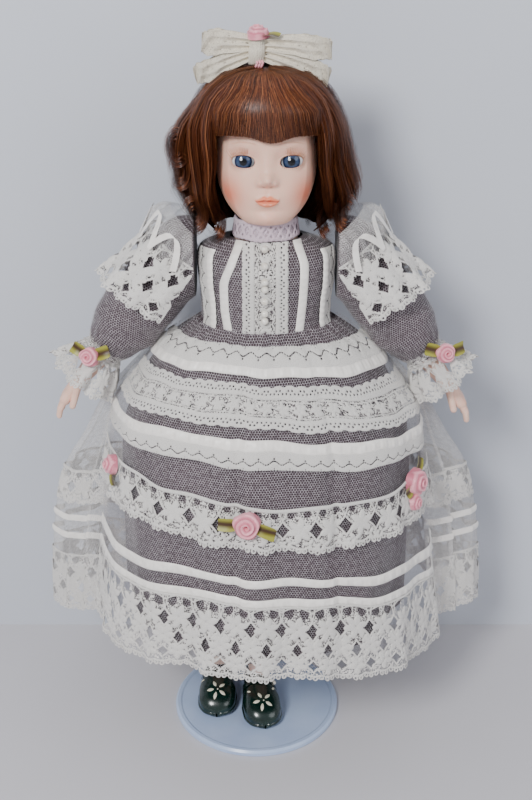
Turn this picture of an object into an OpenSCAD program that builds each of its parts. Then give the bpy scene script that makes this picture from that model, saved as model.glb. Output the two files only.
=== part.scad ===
// Porcelain doll in a net-and-lace dress, standing on a round disc stand.
// Millimetres, +Z up, the doll faces -Y. The origin is the centre of the disc's underside.

/* [Stand] */
// Diameter of the round base
disc_d = 101.6; // [90:0.1:120]
// Thickness of the round base
disc_t = 4; // [3:0.5:6]
// Outer diameter of the lower tube
tube_d = 6.4; // [5.8:0.1:7]
// Diameter of the sliding rod
rod_d = 4.8; // [4:0.1:5]
// Height of the top of the lower tube
tube_top = 120; // [100:1:140]
// Height of the waist clip
clip_z = 238; // [234:1:244]
// Distance of the rod behind the disc's centre
rod_y = 26; // [25:0.5:27]

/* [Doll] */
// Sideways offset of the doll's centre line from the disc's centre
doll_x = 6; // [0:0.5:8]
// Height of the shoulder pivots
shoulder_z = 297; // [294:1:299]
// Half distance between the shoulder pivots
shoulder_x = 43; // [42:0.5:46]
// Angle of the left-hand sleeve from straight down (at -X)
arm_angle_left = 39; // [37:1:45]
// Angle of the right-hand sleeve from straight down (at +X)
arm_angle_right = 37; // [37:1:45]
// Height of the hip pivots
hip_z = 190; // [188:1:192]
// Half distance between the hips
hip_x = 14; // [13.5:0.5:16]
// Height of the shoe soles above the floor
sole_z = 4.9; // [4.8:0.1:6]

/* [Head] */
// Height of the point of the chin
chin_z = 316.2; // [316:0.1:317]
// Radius of a glass eye
eye_r = 7; // [6:0.1:7.4]
// Distance between the eye centres
eye_gap = 23.5; // [21:0.1:25]
// Height of the eye centres
eye_z = 349.6; // [348:0.1:351]

/* [Dress] */
// Width of the skirt over its depth
skirt_aspect = 1.22; // [1.12:0.01:1.22]
// Depth of the back of the lining over the depth of its front
skirt_back = 0.8; // [0.8:0.01:0.84]
// Thickness of each layer of fabric
cloth_t = 1.2; // [1:0.1:1.2]
// Thickness of lace and ribbon trims
trim_t = 1.4; // [1:0.1:1.6]
// Width of the bodice over its depth
bodice_aspect = 1.23; // [1.2:0.01:1.25]
// Half width of the net fan at the back hem
fan_x = 130; // [120:1:134]

/* [Hidden] */

gap = 0.3;
fit = 0.05;
fine = 180;
round_fn = 48;
bead_fn = 24;
limb_fn = 32;
finger_fn = 16;
LEFT = -1;
RIGHT = 1;

// Outline of the skirt: [height, depth of the front]
skirt_outline = [[84, 85], [136, 78], [180, 70], [214, 60], [240, 48], [250, 41], [262, 30.2]];
// Outline of the bodice: [height, depth of the front]
bodice_outline = [[263, 28], [288, 28], [298, 24], [306, 14.5]];
// Outline of the fan of net at the back: [height, share of its full half width]
fan_outline = [[66, 1], [110, 0.98], [160, 0.9], [185, 0.79], [206, 0.72]];
// Roses on the skirt: [turn from the centre front, height], and how far they stand off it
rose_spots = [[-6, 174], [-68, 184], [66, 180]];
rose_lift = 2.1;
fan_depth = 75;
fan_low = 66;
fan_top = 206;

// Outline of the skull and face: [height above the chin, half width, front, back]
face_outline = [
  [0, 5, 20, 6], [2, 10, 22, 11], [7, 16.5, 23.5, 16], [15, 21.6, 25, 20],
  [25, 24.1, 25.2, 23.5], [38, 24.6, 26, 25.5], [52, 22.6, 24.5, 24.5],
  [61, 17.5, 19.5, 20], [66, 11, 12.5, 13], [68, 5, 6, 6]
];

// Sleeve outline: [distance along the arm, radius]
sleeve_outline = [[-19, 3], [-16, 10], [-8, 16.5], [4, 19], [26, 19.6], [50, 18.6], [66, 14.4], [73, 9.8]];
screw_d = 2.4;

// Distance of the eye centres in front of the neck's axis
eye_depth = 15.4;

// Sprung wires of the waist clip
wire_r = 1.1;
clip_bend_r = 10.2;
clip_corner_x = 13.4;

sleeve_inner_r = 8.4;
arm_r = 7.8;
cuff_s = 73.4;
cuff_rose_y = -19.4;
elbow_s = 63;
wrist_s = 94;
arm_side_x = 37.2;

shoe_len = 46;
shoe_w = 23.4;
toe_r = 8;
toe_top = 12;
heel_r = 6.5;
heel_top = 19.5;
toe_slope = atan((heel_top - toe_top) / (shoe_len - shoe_w / 2 - 9.5 - heel_r + toe_r));
toe_flower_z = toe_top + toe_r * tan(toe_slope) + 0.3;
foot_turn_right = 8;
foot_left = [-24.4, 2, sole_z];
foot_right = [2.4, -9, sole_z];
hip_y = 8;
ankle_z = 26;
knee_z = 104;

function skirt_r(z) = lookup(z, skirt_outline);
function bodice_r(z) = lookup(z, bodice_outline);
function fan_half(z) = fan_x * lookup(z, fan_outline);
function heights(outline, low, high) = concat(
  [low], [for (p = outline) if (p[0] > low && p[0] < high) p[0]], [high]);
function reversed(list) = [for (i = [len(list) - 1 : -1 : 0]) list[i]];
function arm_angle(side) = side == LEFT ? arm_angle_left : arm_angle_right;

module on_doll() translate([doll_x, 0, 0]) children();

// Turns an outline into an oval body, made as two halves
module oval_turn() for (turn = [0, 180])
  scale([bodice_aspect, 1, 1]) rotate([0, 0, turn]) rotate_extrude(angle = 180, $fn = fine) children();

// A ring that follows the skirt, lifted off it by the given amount. Its back is shallower than its front.
module skirt_ring(low, high, lift, thick) {
  zs = heights(skirt_outline, low, high);
  inner = [for (z = zs) [skirt_r(z) + lift, z]];
  outer = [for (z = reversed(zs)) [skirt_r(z) + lift + thick, z]];
  scale([skirt_aspect, 1, 1]) rotate([0, 0, 180])
    rotate_extrude(angle = 180, $fn = fine) polygon(concat(inner, outer));
  scale([skirt_aspect, skirt_back, 1])
    rotate_extrude(angle = 180, $fn = fine) polygon(concat(inner, outer));
}

// The front half of such a ring, for trims that stop at the side folds
module skirt_front_ring(low, high, lift, thick) {
  zs = heights(skirt_outline, low, high);
  inner = [for (z = zs) [skirt_r(z) + lift, z]];
  outer = [for (z = reversed(zs)) [skirt_r(z) + lift + thick, z]];
  scale([skirt_aspect, 1, 1]) rotate([0, 0, 181])
    rotate_extrude(angle = 178, $fn = fine) polygon(concat(inner, outer));
}

// A half ring around the back of the fan of net
module fan_ring(low, high, lift, thick) {
  zs = heights(fan_outline, low, high);
  inner = [for (z = zs) [fan_half(z) + lift, z]];
  outer = [for (z = reversed(zs)) [fan_half(z) + lift + thick, z]];
  squeeze = fan_depth / fan_x;
  translate([0, cloth_t, 0]) scale([1, squeeze, 1])
    rotate_extrude(angle = 180, $fn = fine) polygon(concat(inner, outer));
}

// A patch of the bodice's surface between two angles, measured from the centre front
module bodice_patch(from, to, low, high, lift, thick) {
  zs = heights(bodice_outline, low, high);
  inner = [for (z = zs) [bodice_r(z) + lift, z]];
  outer = [for (z = reversed(zs)) [bodice_r(z) + lift + thick, z]];
  scale([bodice_aspect, 1, 1]) rotate([0, 0, from - 90])
    rotate_extrude(angle = to - from, $fn = fine) polygon(concat(inner, outer));
}

// Places a child on the skirt's front with its own +Z outward
module on_skirt(turn, z, lift) {
  r = skirt_r(z) + lift;
  lean = atan((skirt_r(z - 5) - skirt_r(z + 5)) / 10);
  translate([skirt_aspect * r * sin(turn), -r * cos(turn), z])
    rotate([90 - lean, 0, turn]) children();
}

// A rolled ribbon rose: a domed bud, flat at the back
module rose(r, h) {
  rotate_extrude($fn = round_fn)
    polygon([[0, 0], [r * 0.8, 0], [r, h * 0.3], [r * 0.92, h * 0.7], [r * 0.5, h], [0, h * 0.86]]);
}

// A folded ribbon leaf that points along +X
module leaf(length, width, thick) {
  linear_extrude(thick) polygon([
    [0, -width * 0.3], [length * 0.5, -width * 0.5], [length, 0],
    [length * 0.5, width * 0.5], [0, width * 0.3]
  ]);
}

// ---- Stand ----

module stand_disc() color("lightsteelblue") difference() {
  rotate_extrude($fn = fine) polygon([
    [0, 0], [disc_d / 2 - 0.8, 0], [disc_d / 2, 0.8], [disc_d / 2, disc_t - 1.2],
    [disc_d / 2 - 1.2, disc_t], [disc_d / 2 - 3, disc_t], [disc_d / 2 - 4, disc_t - 0.5], [0, disc_t - 0.5]
  ]);
  translate([doll_x, rod_y, 1]) cylinder(d = tube_d, h = disc_t, $fn = round_fn);
}

module stand_tube() color("gainsboro") translate([doll_x, rod_y, 0]) difference() {
  translate([0, 0, 1]) cylinder(d = tube_d, h = tube_top - 1, $fn = round_fn);
  translate([0, 0, 3]) cylinder(d = rod_d + 2 * fit, h = tube_top, $fn = round_fn);
  translate([0, 0, tube_top - 8]) rotate([-90, 0, 0])
    cylinder(d = screw_d + 2 * fit, h = tube_d, $fn = round_fn);
}

module stand_thumb_screw() color("gainsboro")
  translate([doll_x, rod_y + rod_d / 2 + fit, tube_top - 8]) rotate([-90, 0, 0]) {
    cylinder(d = screw_d, h = 2.2, $fn = round_fn);
    translate([0, 0, 2.2]) cylinder(d = 8, h = 4, $fn = round_fn);
  }

module post_rod() color("silver") translate([doll_x, rod_y, 60])
  cylinder(d = rod_d, h = clip_z - 66, $fn = round_fn);

module clip_hub() color("whitesmoke") translate([doll_x, rod_y, clip_z - 6]) difference() {
  union() {
    cylinder(d = 9, h = 12, $fn = round_fn);
    for (side = [LEFT, RIGHT]) translate([side * 6, 0, 0]) cylinder(d = 5.4, h = 12, $fn = round_fn);
    translate([-6, -2.7, 0]) cube([12, 5.4, 12]);
  }
  for (side = [LEFT, RIGHT]) {
    translate([side * 6, 0, 3.7]) translate([-4, -4, 0]) cube([8, 8, 4.6]);
    translate([side * 6, 0, -1]) cylinder(d = 2 + 2 * fit, h = 14, $fn = round_fn);
  }
}

// A sprung arm: a pivot pin at the hub, and a curved wire along the doll's side
module clip_arm(side) color("whitesmoke") translate([doll_x, 0, clip_z]) {
  translate([side * 6, rod_y, -5.6]) cylinder(d = 2, h = 11.2, $fn = round_fn);
  translate([side * 6, rod_y, -2]) cylinder(d = 5, h = 4, $fn = round_fn);
  translate([side > 0 ? 6 : -clip_corner_x, rod_y - wire_r, -wire_r])
    cube([clip_corner_x - 6, 2 * wire_r, 2 * wire_r]);
  translate([side * clip_corner_x, rod_y - clip_bend_r, 0]) rotate([0, 0, side > 0 ? 0 : 90])
    rotate_extrude(angle = 90, $fn = round_fn) translate([clip_bend_r, 0]) circle(r = wire_r, $fn = bead_fn);
  translate([side * (clip_corner_x + clip_bend_r), rod_y - clip_bend_r, 0])
    rotate([90, 0, 0]) cylinder(r = wire_r, h = 23, $fn = bead_fn);
}
module clip_arm_left() clip_arm(LEFT);
module clip_arm_right() clip_arm(RIGHT);

// ---- Torso ----

module cloth_body() color("antiquewhite") on_doll() oval_turn() polygon([
  [0, 203], [14, 203], [17, 206], [18, 212], [18, 262], [20, 268], [20, 284], [14, 290], [0, 290]
]);

module shoulder_plate() color("mistyrose") on_doll() oval_turn() polygon([
  [21, 270], [25.8, 270], [25.8, 286], [22.4, 295], [14, 301], [13.4, 307],
  [11.6, 307], [11.6, 299], [18, 293], [21, 286]
]);

module bodice() color("dimgray") on_doll() for (turn = [0, 180])
  bodice_patch(turn, turn + 180, 263, 306, -cloth_t, cloth_t);

module neck_collar() color("thistle") on_doll() difference() {
  translate([0, 0, 306.3]) cylinder(r1 = 18, r2 = 16.4, h = 9, $fn = fine);
  translate([0, 0, 305]) cylinder(r = 15.2, h = 12, $fn = fine);
  translate([0, 0, 305]) scale([bodice_aspect, 1, 1]) cylinder(r = 13.6, h = 2.2, $fn = fine);
}

module bodice_placket() color("white") on_doll() bodice_patch(-18, 18, 264, 300, 0.1, trim_t);

module placket_pearls() color("ivory") on_doll()
  for (i = [0 : 7])
    translate([0, -bodice_r(267 + i * 4.2) - trim_t - 1.9, 267 + i * 4.2]) sphere(r = 1.7, $fn = bead_fn);

module bodice_ribbons() color("white") on_doll() {
  bodice_patch(-45, -37, 264, 302, 0.1, trim_t);
  bodice_patch(32, 40, 264, 302, 0.1, trim_t);
}

module bodice_side_trim() color("white") on_doll() {
  bodice_patch(-84, -62, 264, 288, 0.1, trim_t);
  bodice_patch(62, 84, 264, 288, 0.1, trim_t);
}

// ---- Skirt ----

module skirt_lining() color("dimgray") on_doll() skirt_ring(92, 262, -2 * cloth_t - gap, cloth_t);

module skirt_net() color("gainsboro") on_doll() skirt_ring(84, 262, -cloth_t, cloth_t);

// The wide fan of net behind the sleeves, with the two side folds that join it to the front
module skirt_back_net() color("gainsboro") on_doll() {
  fan_ring(fan_low, fan_top, -cloth_t, cloth_t);
  zs = heights(fan_outline, 84, fan_top);
  for (side = [LEFT, RIGHT]) translate([0, cloth_t - fit, 0]) rotate([90, 0, 0])
    linear_extrude(cloth_t) polygon(concat(
      [for (z = zs) [side * (skirt_aspect * (skirt_r(z) + trim_t) + 1), z]],
      [for (z = reversed(zs)) [side * (fan_half(z) - 1), z]]));
}

module skirt_ribbons() color("white") on_doll() {
  skirt_front_ring(243.4, 248, 0.1, trim_t);
  skirt_front_ring(208.5, 213.5, 0.1, trim_t);
}

module skirt_lace_upper() color("white") on_doll() skirt_front_ring(248.2, 255.6, 0.1, trim_t);
module skirt_lace_wide() color("white") on_doll() skirt_front_ring(219, 240, 0.1, trim_t);
module skirt_lace_scalloped() color("white") on_doll() skirt_front_ring(200, 208.3, 0.1, trim_t);
module skirt_lace_flounce() color("white") on_doll() skirt_front_ring(157, 181, 0.1, trim_t);

module skirt_satin_stripes() color("white") on_doll() {
  skirt_front_ring(138, 142, 0.1, trim_t);
  skirt_front_ring(126.5, 130.5, 0.1, trim_t);
}

module skirt_hem_lace() color("white") on_doll() skirt_front_ring(84, 126, 0.1, trim_t);

// Lace band, two ribbons and hem lace around the fan of net
module back_net_trims() color("white") on_doll() {
  fan_ring(66, 106, 0.1, trim_t);
  for (z = [117, 129]) fan_ring(z, z + 4, 0.1, trim_t);
  fan_ring(140, 163, 0.1, trim_t);
}

module skirt_roses() color("palevioletred") on_doll()
  for (spot = rose_spots) on_skirt(spot[0], spot[1], rose_lift) rose(7, 6);

module skirt_leaves() color("darkolivegreen") on_doll()
  for (spot = rose_spots) on_skirt(spot[0], spot[1], rose_lift)
    for (side = [0, 180]) rotate([0, 0, side]) translate([7.2, 0, 0]) leaf(9, 7, 1);

// ---- Head ----

// The face and skull: rings whose half width, front and back come from the outline
module skull(shrink) {
  steps = 40;
  rings = [for (p = face_outline) [for (i = [0 : steps - 1])
    let (a = 360 * i / steps, w = p[1] - shrink, f = p[2] - shrink, b = p[3] - shrink)
      [w * cos(a), (sin(a) < 0 ? f : b) * sin(a), chin_z + p[0] * (1 - shrink / 34) + shrink]]];
  points = [for (ring = rings) each ring];
  last = (len(face_outline) - 1) * steps;
  sides = [for (k = [0 : len(face_outline) - 2]) for (i = [0 : steps - 1])
    let (n = (i + 1) % steps, low = k * steps, high = low + steps)
      [low + i, high + i, high + n, low + n]];
  bottom = [for (i = [0 : steps - 1]) i];
  top = [for (i = [steps - 1 : -1 : 0]) last + i];
  polyhedron(concat(points), concat([bottom], sides, [top]), convexity = 4);
}

module eye_place(side) translate([side * eye_gap / 2, -eye_depth, eye_z]) children();

module head_shell() color("mistyrose") on_doll()
  resize([0, 0, face_outline[9][0] + chin_z - 296]) difference() {
    union() {
      skull(0);
      translate([0, 0, 296]) cylinder(r = 11, h = 26, $fn = round_fn);
      hull() {
        translate([0, -25.2, chin_z + 22]) sphere(r = 3.2, $fn = bead_fn);
        translate([0, -24, chin_z + 34]) sphere(r = 1.8, $fn = bead_fn);
      }
    }
    skull(3);
    translate([0, 0, 290]) cylinder(r = 8, h = 34, $fn = round_fn);
    for (side = [LEFT, RIGHT]) {
      eye_place(side) sphere(r = eye_r + 0.2, $fn = limb_fn);
      eye_place(side) rotate([90, 0, 0]) scale([1, 0.6, 1]) cylinder(r = 5.8, h = 12, $fn = limb_fn);
    }
  }

// The front dome of a glass eye
module eye(side) color("steelblue") on_doll() eye_place(side) rotate([90, 0, 0])
  rotate_extrude($fn = round_fn) intersection() {
    circle(r = eye_r, $fn = round_fn);
    square(eye_r);
  }
module eye_left() eye(LEFT);
module eye_right() eye(RIGHT);

// A fringe of lashes above each eye
module eyelashes() color("saddlebrown") on_doll() for (side = [LEFT, RIGHT])
  translate([side * eye_gap / 2 - 5, -28.4, eye_z + 3.8]) cube([10, 1.8, 0.5]);

// The wig is built on a cap that fits over the crown
crown_low = 362;
crown_lift = 1.4;
module crown_region() translate([-60, -60, crown_low]) cube([120, 120, 60]);

module wig_cap() color("saddlebrown") on_doll()
  resize([0, 0, chin_z + face_outline[9][0] + crown_lift - crown_low]) intersection() {
    difference() {
      skull(-crown_lift);
      skull(-0.3);
    }
    crown_region();
  }

module wig_hair() color("sienna") on_doll()
  resize([0, 0, 81.91]) difference() {
    union() {
      intersection() {
        translate([-2, 7, 352]) scale([1, 0.84, 0.85]) sphere(r = 50, $fn = round_fn);
        translate([-60, -60, 326.5]) cube([120, 120, 80]);
      }
      translate([0, 0, 312.5]) cylinder(r1 = 32, r2 = 36, h = 14.2, $fn = round_fn);
    }
    skull(-1.8);
    translate([0, 0, 300]) cylinder(r = 18.4, h = 26, $fn = round_fn);
    translate([-25, -60, 300]) cube([50, 52, 60]);
    translate([-22, -60, 300]) cube([44, 60, 26]);
  }

module bow_loop(side, turn, reach) translate([side * 4, -2, 398]) rotate([0, side * turn, 0]) hull() {
  translate([side * 2, 0, 0]) rotate([90, 0, 0]) cylinder(r = 2, h = 8, center = true, $fn = limb_fn);
  translate([side * reach, 0, 0]) rotate([90, 0, 0]) cylinder(r = 7, h = 16, center = true, $fn = limb_fn);
}

module hair_bow() color("ivory") on_doll() translate([0, 0, 0.6]) {
  for (side = [LEFT, RIGHT]) bow_loop(side, 6, 26);
  translate([0, -2, 394.6]) cylinder(r = 6, h = 7, $fn = round_fn);
}

module bow_rose() color("palevioletred") on_doll() translate([-1, -2, 402.5]) rose(7, 6);

module bow_leaves() color("darkolivegreen") on_doll()
  for (turn = [15, 165]) translate([-1, -2, 402.9]) rotate([0, 0, turn]) translate([7.2, 0, 0]) leaf(8, 6, 1);

// ---- Arms ----

// The arm's own frame: +Z runs down the arm from the shoulder pivot, +X points outward and up
module arm_frame(side) translate([doll_x + side * shoulder_x, 0, shoulder_z])
  mirror([side == LEFT ? 1 : 0, 0, 0]) rotate([0, 180 - arm_angle(side), 0]) mirror([1, 0, 0]) children();

// Cuts away whatever of the arm's dress would reach the side of the bodice
module beside_bodice(side) difference() {
  children();
  translate([doll_x + (side == LEFT ? -arm_side_x : arm_side_x - 80), -60, 200]) cube([80, 120, 160]);
}

module arm_cloth(side) color("antiquewhite") beside_bodice(side) arm_frame(side)
  translate([0, 0, -3]) cylinder(r = arm_r, h = elbow_s + 3, $fn = round_fn);
module arm_cloth_left() arm_cloth(LEFT);
module arm_cloth_right() arm_cloth(RIGHT);

// Porcelain forearm with a small curved hand
module forearm(side) color("mistyrose") arm_frame(side) {
  hull() {
    translate([0, 0, elbow_s + 7.5]) sphere(r = 7, $fn = limb_fn);
    translate([0, 0, wrist_s]) sphere(r = 4.4, $fn = limb_fn);
  }
  hull() {
    translate([0, 0, wrist_s]) sphere(r = 4.2, $fn = limb_fn);
    for (y = [-5, 5]) translate([0, y, wrist_s + 15]) sphere(r = 3, $fn = finger_fn);
  }
  for (i = [0 : 3]) let (y = -5.4 + 3.6 * i, tip = 12 - abs(i - 1.6) * 1.6) {
    hull() {
      translate([0, y, wrist_s + 15]) sphere(r = 2, $fn = finger_fn);
      translate([-1, y * 1.15, wrist_s + 15 + tip * 0.6]) sphere(r = 1.8, $fn = finger_fn);
    }
    hull() {
      translate([-1, y * 1.15, wrist_s + 15 + tip * 0.6]) sphere(r = 1.8, $fn = finger_fn);
      translate([-3, y * 1.15, wrist_s + 15 + tip]) sphere(r = 1.5, $fn = finger_fn);
    }
  }
  hull() {
    translate([-1, -4, wrist_s + 5]) sphere(r = 2.4, $fn = finger_fn);
    translate([-5, -8, wrist_s + 14]) sphere(r = 1.8, $fn = finger_fn);
  }
}
module forearm_left() forearm(LEFT);
module forearm_right() forearm(RIGHT);

module sleeve(side) color("dimgray") beside_bodice(side) arm_frame(side) {
  closed = [for (p = sleeve_outline) [p[1], p[0]]];
  inner = [
    [sleeve_inner_r, 73], [sleeve_inner_r, 70], [13, 65.4], [17.3, 49.5], [18.3, 26], [17.7, 4],
    [15.2, -8], [8.8, -15], [0, -17]
  ];
  rotate_extrude($fn = fine) polygon(concat([[0, -19]], closed, inner));
}
module sleeve_left() sleeve(LEFT);
module sleeve_right() sleeve(RIGHT);

// Lace flounce that stands off the top of the sleeve and stays open under the arm
module shoulder_flounce(side) color("white") beside_bodice(side) arm_frame(side)
  rotate([0, 0, -115]) rotate_extrude(angle = 230, $fn = fine) polygon([
    [17, -14], [18.4, -14], [22.4, -6], [23.4, 6], [25.8, 20], [28.6, 35],
    [27.2, 35.4], [24.4, 21], [21.8, 6], [20.8, -5]
  ]);
module shoulder_flounce_left() shoulder_flounce(LEFT);
module shoulder_flounce_right() shoulder_flounce(RIGHT);

module cuff_lace(side) color("white") arm_frame(side) translate([0, 0, cuff_s])
  rotate_extrude($fn = fine) polygon([
    [8.4, 0], [12, 0], [18, 6], [21, 15], [19.8, 21], [18.4, 21], [16.8, 12], [11, 3], [8.4, 3]
  ]);
module cuff_lace_left() cuff_lace(LEFT);
module cuff_lace_right() cuff_lace(RIGHT);

module cuff_rose(side) color("palevioletred") arm_frame(side)
  translate([6, cuff_rose_y, cuff_s + 4]) rotate([90, 0, 0]) rose(5, 5);
module cuff_rose_left() cuff_rose(LEFT);
module cuff_rose_right() cuff_rose(RIGHT);

module cuff_leaves(side) color("darkolivegreen") arm_frame(side)
  for (turn = [0, 180]) translate([6, cuff_rose_y, cuff_s + 4]) rotate([90, 0, 0]) rotate([0, 0, turn])
    translate([5.2, 0, 0]) leaf(8, 6, 1);
module cuff_leaves_left() cuff_leaves(LEFT);
module cuff_leaves_right() cuff_leaves(RIGHT);

// ---- Legs ----

function foot(side) = side == LEFT ? foot_left : foot_right;
function hip(side) = [doll_x + side * hip_x, hip_y, hip_z];
function ankle(side) = [foot(side)[0], foot(side)[1] + 10, ankle_z];
function between(a, b, z) = a + (b - a) * (z - a[2]) / (b[2] - a[2]);

// A straight limb from one point to another
module limb(from, to, r1, r2) {
  d = to - from;
  translate(from) rotate([0, acos(d[2] / norm(d)), atan2(d[1], d[0])])
    cylinder(r1 = r1, r2 = r2, h = norm(d), $fn = round_fn);
}

module thigh(side) color("antiquewhite") {
  translate(hip(side)) sphere(r = 12, $fn = round_fn);
  limb(hip(side), between(hip(side), ankle(side), knee_z), 11.9, 10);
}
module thigh_left() thigh(LEFT);
module thigh_right() thigh(RIGHT);

module lower_leg(side) color("mistyrose")
  limb(between(hip(side), ankle(side), knee_z - 1.2), ankle(side), 9.8, 7.4);
module lower_leg_left() lower_leg(LEFT);
module lower_leg_right() lower_leg(RIGHT);

// The shoe's own frame: the middle of the sole, with the toe toward -Y
module foot_frame(side) translate(foot(side)) rotate([0, 0, side == RIGHT ? foot_turn_right : 0]) children();

module shoe(side) color("darkslategray") foot_frame(side) hull() {
  translate([0, -shoe_len / 2 + shoe_w / 2, 1]) cylinder(r = shoe_w / 2 - 1, h = 4, $fn = limb_fn);
  translate([0, -shoe_len / 2 + shoe_w / 2, 3]) cylinder(r = shoe_w / 2, h = 4, $fn = limb_fn);
  translate([0, shoe_len / 2 - 9.5, 1]) cylinder(r = 8, h = 4, $fn = limb_fn);
  translate([0, shoe_len / 2 - 9.5, 0]) cylinder(r = heel_r, h = heel_top, $fn = limb_fn);
  translate([0, -shoe_len / 2 + shoe_w / 2, 0]) cylinder(r = toe_r, h = toe_top, $fn = limb_fn);
}
module shoe_left() shoe(LEFT);
module shoe_right() shoe(RIGHT);

// Five painted petals, raised a little from the toe
module shoe_flower(side) color("ivory") foot_frame(side)
  for (turn = [0 : 72 : 288]) translate([0, -shoe_len / 2 + shoe_w / 2, toe_flower_z])
    rotate([toe_slope, 0, 0]) rotate([0, 0, turn + 90]) translate([1.4, 0, 0]) leaf(4.6, 2.4, 0.3);
module shoe_flower_left() shoe_flower(LEFT);
module shoe_flower_right() shoe_flower(RIGHT);

stand_disc();
stand_tube();
stand_thumb_screw();
post_rod();
clip_hub();
clip_arm_left();
clip_arm_right();
cloth_body();
shoulder_plate();
bodice();
neck_collar();
bodice_placket();
placket_pearls();
bodice_ribbons();
bodice_side_trim();
skirt_lining();
skirt_net();
skirt_back_net();
skirt_ribbons();
skirt_lace_upper();
skirt_lace_wide();
skirt_lace_scalloped();
skirt_lace_flounce();
skirt_satin_stripes();
skirt_hem_lace();
back_net_trims();
skirt_roses();
skirt_leaves();
head_shell();
eye_left();
eye_right();
eyelashes();
wig_cap();
wig_hair();
hair_bow();
bow_rose();
bow_leaves();
arm_cloth_left();
forearm_left();
sleeve_left();
shoulder_flounce_left();
cuff_lace_left();
cuff_rose_left();
cuff_leaves_left();
arm_cloth_right();
forearm_right();
sleeve_right();
shoulder_flounce_right();
cuff_lace_right();
cuff_rose_right();
cuff_leaves_right();
thigh_left();
lower_leg_left();
shoe_left();
shoe_flower_left();
thigh_right();
lower_leg_right();
shoe_right();
shoe_flower_right();
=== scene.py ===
import math
import bpy
import numpy as np
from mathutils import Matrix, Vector


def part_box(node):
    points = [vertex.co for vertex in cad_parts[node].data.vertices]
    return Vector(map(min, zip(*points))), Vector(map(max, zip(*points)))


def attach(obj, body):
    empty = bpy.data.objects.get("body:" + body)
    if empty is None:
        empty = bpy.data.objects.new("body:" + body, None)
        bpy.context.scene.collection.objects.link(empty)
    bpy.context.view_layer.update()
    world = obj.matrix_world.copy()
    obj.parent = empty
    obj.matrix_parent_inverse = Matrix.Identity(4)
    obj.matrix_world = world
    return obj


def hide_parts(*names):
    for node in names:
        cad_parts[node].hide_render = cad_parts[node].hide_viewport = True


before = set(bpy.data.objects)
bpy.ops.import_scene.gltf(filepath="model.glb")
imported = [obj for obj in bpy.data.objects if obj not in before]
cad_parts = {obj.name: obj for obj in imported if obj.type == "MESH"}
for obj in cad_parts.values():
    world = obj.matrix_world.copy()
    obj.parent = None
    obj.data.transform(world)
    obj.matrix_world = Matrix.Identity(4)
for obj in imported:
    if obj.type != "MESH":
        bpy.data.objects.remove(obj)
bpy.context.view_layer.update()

# Lengths in this script are millimetres in the frame of the CAD model, turned to metres when a mesh is made.
MM = 0.001
collar_low, collar_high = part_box("neck_collar")
DOLL_X = (collar_low.x + collar_high.x) / 2 / MM
LEFT, RIGHT = -1, 1
SIDE_NAMES = {LEFT: "left", RIGHT: "right"}
random = np.random.default_rng(7)


# ---- Meshes ----

def smooth_curve(points):
    """A function through (x, value) points with smooth slopes and no overshoot."""
    xs, ys = np.array(sorted(points), float).T
    steps = np.diff(xs)
    slopes = np.diff(ys) / steps
    tangents = np.zeros_like(xs)
    same = slopes[:-1] * slopes[1:] > 0
    low = 2 * steps[1:] + steps[:-1]
    high = steps[1:] + 2 * steps[:-1]
    safe = np.where(same, slopes[:-1], 1), np.where(same, slopes[1:], 1)
    tangents[1:-1] = np.where(same, (low + high) / (low / safe[0] + high / safe[1]), 0)
    tangents[0], tangents[-1] = slopes[0], slopes[-1]

    def value(x):
        x = np.clip(x, xs[0], xs[-1])
        i = np.clip(np.searchsorted(xs, x) - 1, 0, len(xs) - 2)
        h = steps[i]
        t = (x - xs[i]) / h
        return (
            (1 + 2 * t) * (1 - t) ** 2 * ys[i]
            + t * (1 - t) ** 2 * h * tangents[i]
            + t * t * (3 - 2 * t) * ys[i + 1]
            + t * t * (t - 1) * h * tangents[i + 1]
        )

    return value


def on_doll(points):
    """Moves points from the doll's centre line into the frame."""
    return np.asarray(points, float) + [DOLL_X, 0, 0]


def mesh_piece(name, points, faces, body, slot, material, uv=None, colour=None, stands_for=()):
    """Makes an object from millimetre points and one or more arrays of faces, and puts it on its CAD body."""
    groups = faces if isinstance(faces, list) else [faces]
    loops = np.concatenate([g.ravel() for g in groups]).astype(np.int32)
    sizes = np.concatenate([np.full(len(g), g.shape[1]) for g in groups])
    starts = np.concatenate([[0], np.cumsum(sizes)[:-1]]).astype(np.int32)
    points = np.asarray(points, np.float32) * MM
    mesh = bpy.data.meshes.new(name)
    mesh.vertices.add(len(points))
    mesh.vertices.foreach_set("co", points.ravel())
    mesh.loops.add(len(loops))
    mesh.loops.foreach_set("vertex_index", loops)
    mesh.polygons.add(len(sizes))
    mesh.polygons.foreach_set("loop_start", starts)
    if uv is not None:
        layer = mesh.uv_layers.new(name="UVMap")
        layer.data.foreach_set("uv", np.asarray(uv, np.float32)[loops].ravel())
    if colour is not None:
        shade = mesh.color_attributes.new("Paint", "FLOAT_COLOR", "POINT")
        rgba = np.ones((len(points), 4), np.float32)
        rgba[:, :3] = colour
        shade.data.foreach_set("color", rgba.ravel())
    mesh.update(calc_edges=True)
    mesh.validate()
    mesh.shade_smooth()
    obj = bpy.data.objects.new(name, mesh)
    bpy.context.scene.collection.objects.link(obj)
    obj.data.materials.append(material)
    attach(obj, body)
    if stands_for:
        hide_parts(*stands_for)
    return obj


def grid_faces(rows, columns, wrap=False):
    """Quads of a grid of points laid out row by row."""
    index = np.arange(rows * columns).reshape(rows, columns)
    if wrap:
        index = np.concatenate([index, index[:, :1]], axis=1)
    a, b, c, d = index[:-1, :-1], index[:-1, 1:], index[1:, 1:], index[1:, :-1]
    return np.stack([a, b, c, d], axis=-1).reshape(-1, 4)


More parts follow.
